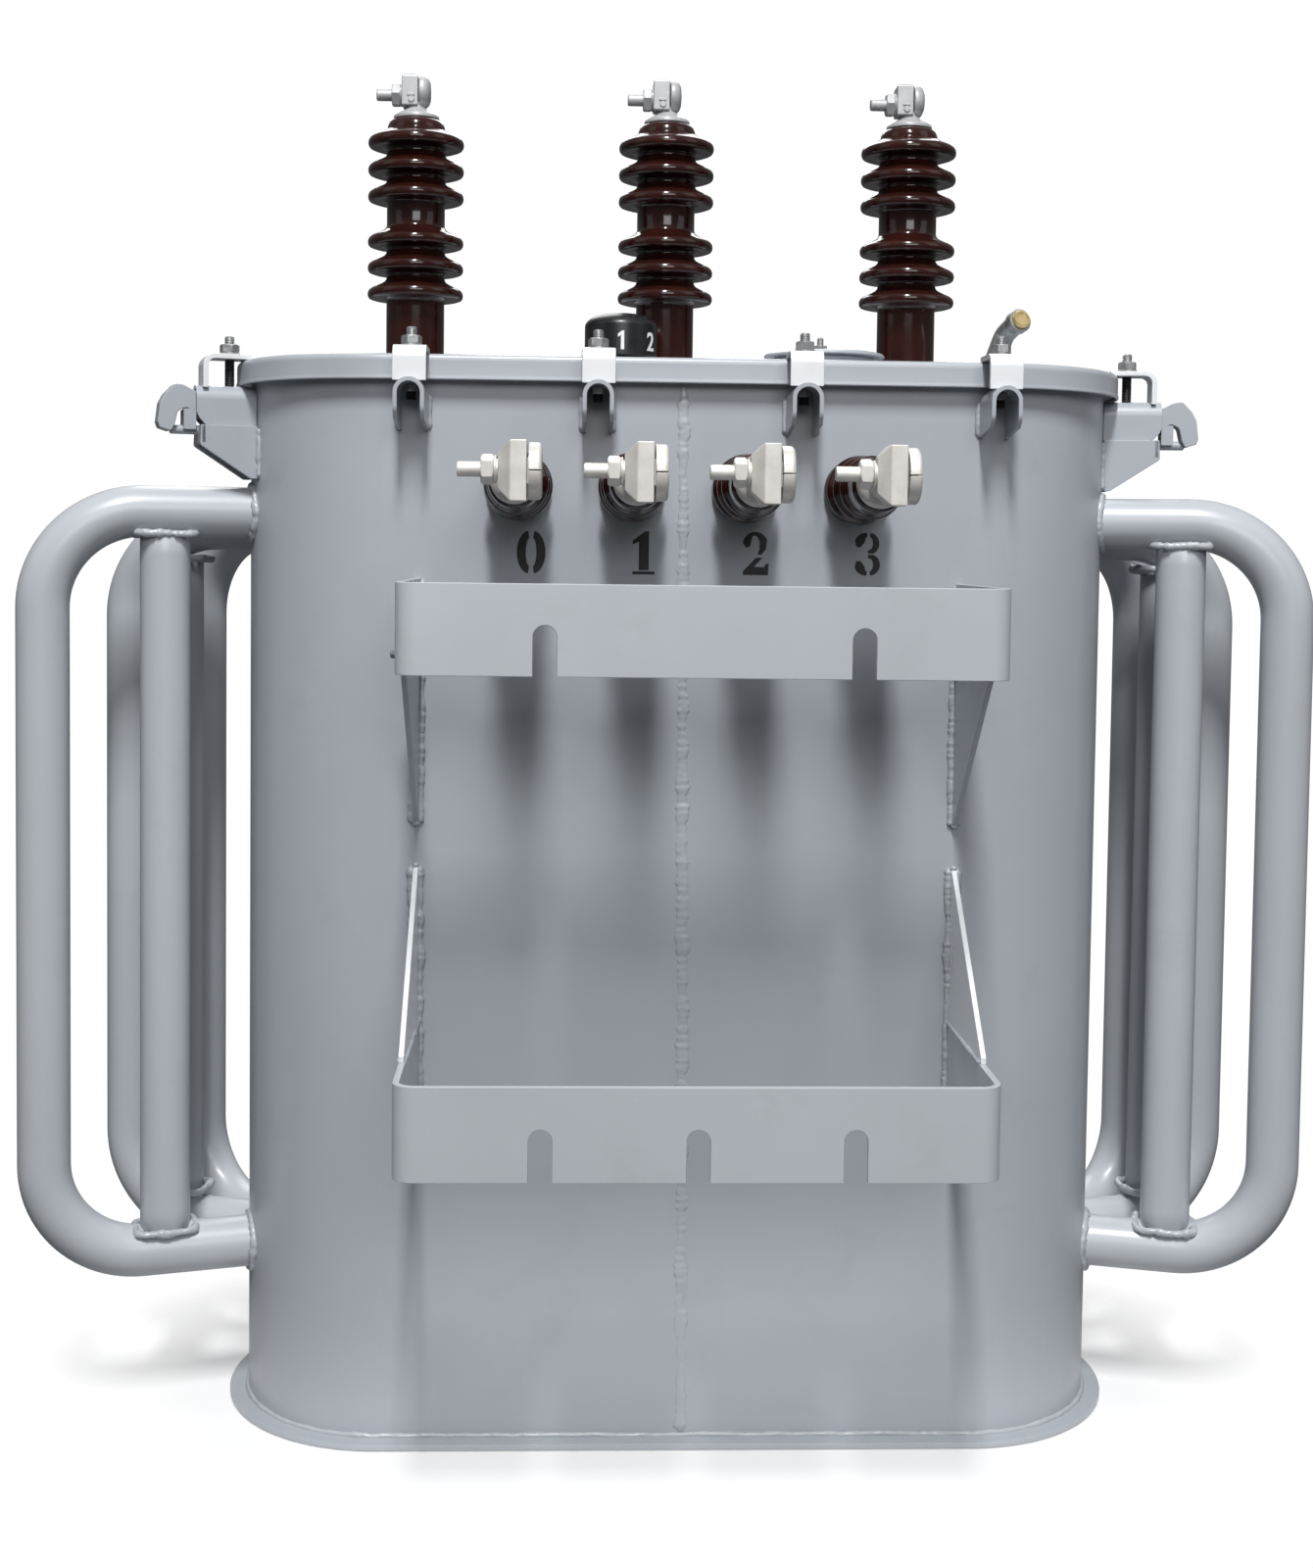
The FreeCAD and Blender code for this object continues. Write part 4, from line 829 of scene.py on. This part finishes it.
for mx in ENDS:
    hk.add(hook.get(), mx)
hk.obj("lifting_hooks", "paint", ["lifting_lugs"])
W = Geo()
for k, mx in enumerate(ENDS):
    for x in (14.2, -14.2, 21.8, -21.8):
        d = RAD - math.sqrt(RAD * RAD - x * x)
        W.add(bead([(x, d - 0.8, 932), (x, d - 0.8, 980)], 2.8, 60 + k * 5 + x, step=1.9), mx)
W.obj("lifting_hook_welds", "weld", angle=80, wn=False)

# ------------------------------------------------------------------ cooling tubes
R, RR, RE, BR = 25.4, 24.4, 22.8, 95.0
UNITS = {"left_front": (346.0, 230.0, -1, -15.4, 161, 898), "left_mid": (293.0, 238.0, -1, 14.0, 150, 886), "left_rear": (291.5, None, -1, 38.0, 130, 886),
         "right_front": (329.0, 225.5, 1, -15.4, 161, 898), "right_mid": (299.0, 244.0, 1, 14.0, 150, 886), "right_rear": (300.0, None, 1, 36.0, 130, 886)}
W = Geo()
for i, (name, (ro, ri, sd, ang, zl, zh)) in enumerate(UNITS.items()):
    a = math.radians(ang)
    dx, dy = sd * math.cos(a), math.sin(a)
    px, py = -dy, dx
    P = lambda u, z, w=0.0: (sd * HALF + dx * u + px * w, dy * u + py * w, z)
    path = [(u, zl) for u in np.linspace(137, ro - BR, 8)]
    path += [(ro - BR + BR * math.sin(t), zl + BR - BR * math.cos(t)) for t in np.linspace(0, math.pi / 2, 25)[1:]]
    path += [(ro, z) for z in np.linspace(zl + BR, zh - BR, 14)[1:]]
    path += [(ro - BR + BR * math.cos(t), zh - BR + BR * math.sin(t)) for t in np.linspace(0, math.pi / 2, 25)[1:]]
    path += [(u, zh) for u in np.linspace(ro - BR, 137, 8)[1:]]
    # the loops take the lightened cooler paint, a painted sheen
    Geo().add(tube([P(u, z) for u, z in path], R, 56)).obj("cooler_loop_" + name, "pipe", ["cooling_loop_" + name], angle=60, wn=False)
    for z, q in ((zl, 1), (zh, 2)):
        ringp = []
        for t in np.linspace(0, 2 * math.pi, 73)[:-1]:
            w = (R + 1.2) * math.cos(t)
            ringp.append(P(math.sqrt(RAD * RAD - w * w) + 0.6, z + (R + 1.2) * math.sin(t), w))
        W.add(bead(ringp, 4.2, 80 + i * 7 + q, closed=True, step=2.1, lump=0.22, ripple=0.20, pitch=6))
    if ri:
        uc = ro - BR

        def meet(u, w):
            hh = math.sqrt(max(R * R - w * w, 0.0))
            return BR - hh if u <= uc else math.sqrt(max((BR - hh) ** 2 - (u - uc) ** 2, 60.0))

        zr = BR - meet(ri, 0) - 3.4
        ends = [(-12.0, 13.0), (-0.7, 13.0), (0.0, RR - 0.7), (0.7, RR)]
        prof_ = [(zl + zr + o_, q_) for o_, q_ in ends]
        prof_ += [(z_, RR) for z_ in np.linspace(zl + zr + 20, zh - zr - 20, 8)]
        prof_ += [(zh - zr - o_, q_) for o_, q_ in ends[::-1]]
        # the risers take the lightened cooler paint, a painted sheen
        Geo().add(tube([P(ri, z_) for z_, _q in prof_], [q_ for _z, q_ in prof_], 56)).obj("cooler_riser_" + name, "pipe", ["cooling_riser_" + name], angle=60, wn=False)
        for up in (0, 1):
            ringp = []
            for t in np.linspace(0, 2 * math.pi, 97)[:-1]:
                cu_, su_ = math.cos(t), math.sin(t)
                u, w = ri + 29.0 * math.copysign(abs(cu_) ** 0.40, cu_), 22.4 * math.copysign(abs(su_) ** 0.40, su_)
                ringp.append(P(u, zh - zr if up else zl + zr, w))
            W.add(bead(ringp, 4.1, 130 + i * 5 + up, closed=True, step=2.1, lump=0.20, ripple=0.16, pitch=7))
W.obj("cooler_welds", "weld", angle=80, wn=False)

# ------------------------------------------------------------------ lid fittings
d0, d1 = nb("tap_dial")
dx_, dy_, dr = (d0.x + d1.x) / 2, (d0.y + d1.y) / 2, (d1.x - d0.x) / 2
g = Geo().add(rev([(8.1, d0.z), (dr - 1.2, d0.z), (dr, d0.z + 1.2), (dr, d1.z - 12.5), (dr - 0.5, d1.z - 10.6), (dr - 2.0, d1.z - 8.2), (dr - 5.2, d1.z - 5.2), (dr - 10.0, d1.z - 2.6),
                   (dr - 16.0, d1.z - 0.9), (dr - 22.0, d1.z - 0.2), (0, d1.z)], 96), T(dx_, dy_, 0))
g.obj("tap_dial_cap", "black", ["tap_dial"], body="tap_switch_dial", angle=40)
Geo().add(rev([(0, l1.z - 2), (29.6, l1.z - 2), (30, l1.z), (30, l1.z + 3.2), (29.2, l1.z + 4.0), (8.0, l1.z + 4.0), (8.0, d0.z + 20), (0, d0.z + 20)], 64), T(dx_, dy_, 0)).obj(
    "tap_switch_neck", "black", ["tap_changer_base"])


def text_vf(body_, size):
    cu = bpy.data.curves.new("t", "FONT")
    cu.body, cu.size, cu.align_x, cu.align_y, cu.extrude, cu.offset = body_, size, "CENTER", "CENTER", 0.3, 0.35
    cu.resolution_u = 6
    o = bpy.data.objects.new("t", cu)
    bpy.context.scene.collection.objects.link(o)
    bpy.context.view_layer.update()
    me = o.evaluated_get(bpy.context.evaluated_depsgraph_get()).to_mesh()
    bm = bmesh.new()
    bm.from_mesh(me)
    bmesh.ops.remove_doubles(bm, verts=bm.verts, dist=1e-4)
    r = to_vf(bm)
    bm.free()
    bpy.data.objects.remove(o)
    return r


g = Geo()
for k in range(5):
    if k:
        v_, f_ = text_vf(str(k + 1), 25.0)
    else:
        bm = prism_bm([(-1.7, -9), (1.7, -9), (1.7, 9), (-0.4, 9), (-4.8, 5.8), (-4.8, 2.8), (-1.7, 4.8)], -0.3, 0.3)
        bmesh.ops.triangulate(bm, faces=[f_ for f_ in bm.faces if len(f_.verts) > 4])
        v_, f_ = to_vf(bm)
        bm.free()
    ph0 = math.radians(-0.9 + 54.2 * k)
    zc = d0.z + 14.5
    xm = (min(p[0] for p in v_) + max(p[0] for p in v_)) / 2
    ym = (min(p[1] for p in v_) + max(p[1] for p in v_)) / 2
    out = []
    for p in v_:
        ph = ph0 + (p[0] - xm) * 0.92 / dr
        rr = dr + (0.42 if p[2] > 0 else -0.35)
        out.append((dx_ + rr * math.sin(ph), dy_ - rr * math.cos(ph), zc + (p[1] - ym)))
    g.add((out, f_))
g.obj("tap_dial_numbers", "white", body="tap_switch_dial", angle=40, wn=False)

h0, h1 = nb("handhole_cover")
hx, hy, hr = (h0.x + h1.x) / 2, (h0.y + h1.y) / 2, (h1.x - h0.x) / 2
Geo().add(ring([(42, l1.z - 1), (50, l1.z - 1), (50, h0.z - 1.2), (48.5, h0.z), (42, h0.z)], 80), T(hx, hy, 0)).obj("handhole_collar", "paint", ["handhole_neck"])
Geo().add(rev([(0, h0.z), (hr - 3, h0.z), (hr - 1, h0.z - 0.0), (hr, h0.z + 1.0), (hr - 0.3, h0.z + 2.6), (hr - 1.8, h0.z + 3.8), (hr - 6, h0.z + 4.6), (hr - 20, h0.z + 5.5), (0, h1.z)], 96),
          T(hx, hy, 0)).obj("handhole_lid", "paint", ["handhole_cover"])
hb0, hb1 = nb("handhole_bolt")
bx, by = (hb0.x + hb1.x) / 2, (hb0.y + hb1.y) / 2
g = Geo()
g.add(thread(3.5, hb0.z, hb1.z, 1.25, 24), T(bx, by, 0)).add(hexa(7.4, 6.0, hb0.z + 1.0, 0.5), T(bx, by, 0)).add(washer(7.4, 1.2, hb0.z), T(bx, by, 0))
g.obj("handhole_stud_and_nut", "zinc", ["handhole_bolt"])

# relief valve: bent galvanised pipe with a lip of the same finish and a brass plug
v0, v1 = nb("valve_elbow")
r0, r1 = nb("relief_valve")
mc = V(((r0.x + r1.x) / 2, (r0.y + r1.y) / 2, (r0.z + r1.z) / 2))
out_ = V((0.30, -0.93, 0.25)).normalized()
base = V((312, -42, l1.z))
ctl = [base + V((0, 0, -1)), base + V((3.5, -1, 14)), base + V((8, -3, 28)), mc - out_ * 26 + V((-3, 4, -6)), mc - out_ * 13, mc - out_ * 5]
q, _ = resample([tuple(c) for c in ctl], 1.5)
for _i in range(12):
    q[1:-1] = (q[:-2] + q[1:-1] * 2 + q[2:]) / 4
g = Geo().add(tube(q.tolist(), 10.2, 40))
rot = out_.to_track_quat("Z", "Y").to_matrix().to_4x4()
g.add(rev([(10.8, -12), (12.0, -11), (12.1, -3.5), (11.6, -2.2), (9.6, -2.0), (9.4, -4)], 48), Matrix.Translation(mc) @ rot)
g.obj("valve_pipe", "zinc", ["valve_elbow"], angle=50)
g = Geo()
g.add(rev([(0, -5), (9.3, -5), (9.3, 0.8), (8.7, 1.6), (6.4, 1.9), (6.0, 1.2), (0, 1.3)], 48), Matrix.Translation(mc) @ rot)
g.obj("relief_plug", "brass", ["relief_valve"], angle=40)

# ------------------------------------------------------------------ stencilled numbers under the low voltage bushings
def arc(cx, cy, rx, ry, a0, a1, n=14):
    return [(cx + rx * math.cos(math.radians(a0 + (a1 - a0) * k / n)), cy + ry * math.sin(math.radians(a0 + (a1 - a0) * k / n))) for k in range(n + 1)]


def glyph(d):
    """Stencil digit outlines in a box 26 wide and 40 high, centred."""
    if d == 0:
        left = arc(-1.4, 0, 12.2, 20.5, 97, 263) + arc(-1.4, 0, 3.6, 13.5, 263, 97)
        return [left, [(-x, y) for x, y in left][::-1]]
    if d == 1:
        return [[(-4.6, -16.5), (-4.6, 10.5), (-10.5, 8.0), (-10.5, 11.5), (1.2, 20.5), (5.0, 20.5), (5.0, -16.5)],
                [(-10.5, -20.5), (10.5, -20.5), (10.5, -17.6), (-10.5, -17.6)]]
    if d == 2:
        top = arc(-0.5, 8.6, 12.0, 12.0, 172, 20, 16) + [(9.6, 4.0), (5.4, -1.0), (1.6, -1.0), (3.6, 4.2)] + arc(-1.0, 9.4, 4.6, 7.6, -20, 120, 10) + [(-4.6, 10.4), (-5.4, 6.8), (-9.5, 5.6)]
        foot = [(-12, -20.5), (12, -20.5), (12.6, -9.5), (9.8, -9.5), (8.2, -12.8), (-1.6, -12.6), (6.6, -4.0), (0.6, -3.6), (-12, -17.0)]
        return [top, foot]
    a = arc(-0.8, 10.2, 11.6, 10.4, 165, 88, 8) + arc(0, 10.2, 2.4, 6.8, 92, 165, 6) + [(-4.2, 9.4), (-6.6, 6.6), (-10.6, 7.0)]
    b = arc(1.8, 10.2, 9.6, 10.4, 84, -66, 12) + [(0.6, 0.8), (0.6, 3.6)] + arc(1.6, 10.2, 3.6, 6.6, -50, 80, 8)
    c = [(x, -y + 0.2) for x, y in a][::-1]
    e_ = [(x * 1.08, -y + 0.2) for x, y in b][::-1]
    return [a, b, c, e_]


def tidy(poly):
    out = []
    for p in poly:
        if not out or (V(p) - V(out[-1])).length > 0.15:
            out.append(p)
    if (V(out[0]) - V(out[-1])).length < 0.15:
        out.pop()
    return out


g = Geo()
for k, cx in enumerate(LVX):
    for poly in glyph(k):
        bm = prism_bm(tidy(poly), 0, 0.35)
        bmesh.ops.triangulate(bm, faces=[f_ for f_ in bm.faces if len(f_.verts) > 4])
        g.add(to_vf(bm), T(cx + (14, 15, 16, 17)[k] * 0 + 12.0, -RAD + 0.2, 862.5 + k * 0.6, axis="-Y"))
        bm.free()
g.obj("terminal_numbers", "stencil", angle=40, wn=False, slot=False)

# ------------------------------------------------------------------ floor, light, camera
fm = bpy.data.materials.new("studio_floor")
nt, bs = nodes_of(fm)
c = ramp(nt, noise_node(nt, 0.8, 2.0), [(0.3, (0.74, 0.74, 0.745)), (0.7, (0.77, 0.77, 0.775))])
nt.links.new(c, bs.inputs["Base Color"])
bs.inputs["Roughness"].default_value = 0.85
bs.inputs["Specular IOR Level"].default_value = 0.2
bs.inputs["Emission Color"].default_value = (1, 1, 1, 1)
bs.inputs["Emission Strength"].default_value = 0.14
tcf = nt.nodes.new("ShaderNodeTexCoord")
grad = nt.nodes.new("ShaderNodeTexGradient")
grad.gradient_type = "SPHERICAL"
mpf = nt.nodes.new("ShaderNodeMapping")
mpf.inputs["Scale"].default_value = (1.38, 2.15, 1.0)
nt.links.new(tcf.outputs["Object"], mpf.inputs["Vector"])
nt.links.new(mpf.outputs["Vector"], grad.inputs["Vector"])
near = ramp(nt, grad.outputs["Fac"], [(0.03, 0.0), (0.36, 0.9)])
tr = nt.nodes.new("ShaderNodeBsdfTransparent")
mf = nt.nodes.new("ShaderNodeMixShader")
nt.links.new(near, mf.inputs[0])
nt.links.new(tr.outputs[0], mf.inputs[1])
nt.links.new(bs.outputs[0], mf.inputs[2])
nt.links.new(mf.outputs[0], next(n for n in nt.nodes if n.type == "OUTPUT_MATERIAL").inputs["Surface"])
me = bpy.data.meshes.new("floor")
me.from_pydata([(-4, -4, -0.0010), (4, -4, -0.0010), (4, 4, -0.0010), (-4, 4, -0.0010)], [], [(0, 1, 2, 3)])
me.materials.append(fm)
floor = bpy.data.objects.new("floor", me)
bpy.context.scene.collection.objects.link(floor)


def area(name, az, el, dist, sx, sy, power, color=(1, 1, 1), target=(0, 0, 0.7)):
    li = bpy.data.lights.new(name, "AREA")
    li.shape, li.size, li.size_y, li.energy, li.color = "RECTANGLE", sx, sy, power, color
    o = bpy.data.objects.new(name, li)
    a, e_ = math.radians(az), math.radians(el)
    d = V((math.sin(a) * math.cos(e_), -math.cos(a) * math.cos(e_), math.sin(e_)))
    o.location = V(target) + d * dist
    o.rotation_mode = "QUATERNION"
    o.rotation_quaternion = d.to_track_quat("Z", "Y")
    bpy.context.scene.collection.objects.link(o)
    return o


area("key", -3, 55.5, 7.0, 0.60, 1.9, 480)
area("front_fill", 4, 18, 6.0, 3.0, 2.0, 92, target=(0, 0, 1.15))
area("left_fill", -70, 30, 4.5, 2.0, 3.0, 7)
area("right_fill", 62, 32, 4.5, 2.0, 3.0, 13)
area("rear_fill", 180, 45, 5.0, 3.0, 3.0, 105)

world = bpy.data.worlds.new("studio")
bpy.context.scene.world = world
world.use_nodes = True
nt = world.node_tree
bg = nt.nodes["Background"]
tc = nt.nodes.new("ShaderNodeTexCoord")
sep = nt.nodes.new("ShaderNodeSeparateXYZ")
nt.links.new(tc.outputs["Generated"], sep.inputs[0])
rp = nt.nodes.new("ShaderNodeValToRGB")
rp.color_ramp.elements[0].position, rp.color_ramp.elements[0].color = 0.0, (0.30, 0.305, 0.315, 1)
rp.color_ramp.elements[1].position, rp.color_ramp.elements[1].color = 0.9, (0.92, 0.93, 0.95, 1)
nt.links.new(sep.outputs["Z"], rp.inputs["Fac"])
nt.links.new(rp.outputs["Color"], bg.inputs["Color"])
bg.inputs["Strength"].default_value = 0.31
lp = nt.nodes.new("ShaderNodeLightPath")
bg2 = nt.nodes.new("ShaderNodeBackground")
bg2.inputs["Color"].default_value = (1, 1, 1, 1)
bg2.inputs["Strength"].default_value = 1.05
mxs = nt.nodes.new("ShaderNodeMixShader")
nt.links.new(lp.outputs["Is Camera Ray"], mxs.inputs[0])
nt.links.new(bg.outputs[0], mxs.inputs[1])
nt.links.new(bg2.outputs[0], mxs.inputs[2])
nt.links.new(mxs.outputs[0], nt.nodes["World Output"].inputs["Surface"])
bpy.context.scene.view_settings.view_transform = "Standard"

yaw, pitch, roll = -0.0366, 0.0481, 0.0121
cy, sy, cp, sp, cr, sr = math.cos(yaw), math.sin(yaw), math.cos(pitch), math.sin(pitch), math.cos(roll), math.sin(roll)
Rm = Matrix(((cr, -sr, 0), (sr, cr, 0), (0, 0, 1))) @ Matrix(((1, 0, 0), (0, 0, -1), (0, 1, 0))) @ Matrix(((1, 0, 0), (0, cp, -sp), (0, sp, cp))) @ Matrix(((cy, sy, 0), (-sy, cy, 0), (0, 0, 1)))
cam = bpy.data.cameras.new("camera")
co_ = bpy.data.objects.new("camera", cam)
right, up, back = Rm[0], -Rm[1], -Rm[2]
co_.matrix_world = Matrix(((right[0], up[0], back[0], -0.10781), (right[1], up[1], back[1], -1.99762), (right[2], up[2], back[2], 0.86653), (0, 0, 0, 1)))
cam.sensor_fit, cam.sensor_width = "AUTO", 36.0
cam.lens = 1985.38 * 36.0 / 1600.0
cam.shift_x = (670 - 655.51) / 1600.0
cam.shift_y = (656.07 - 800) / 1600.0
bpy.context.scene.collection.objects.link(co_)
bpy.context.scene.camera = co_
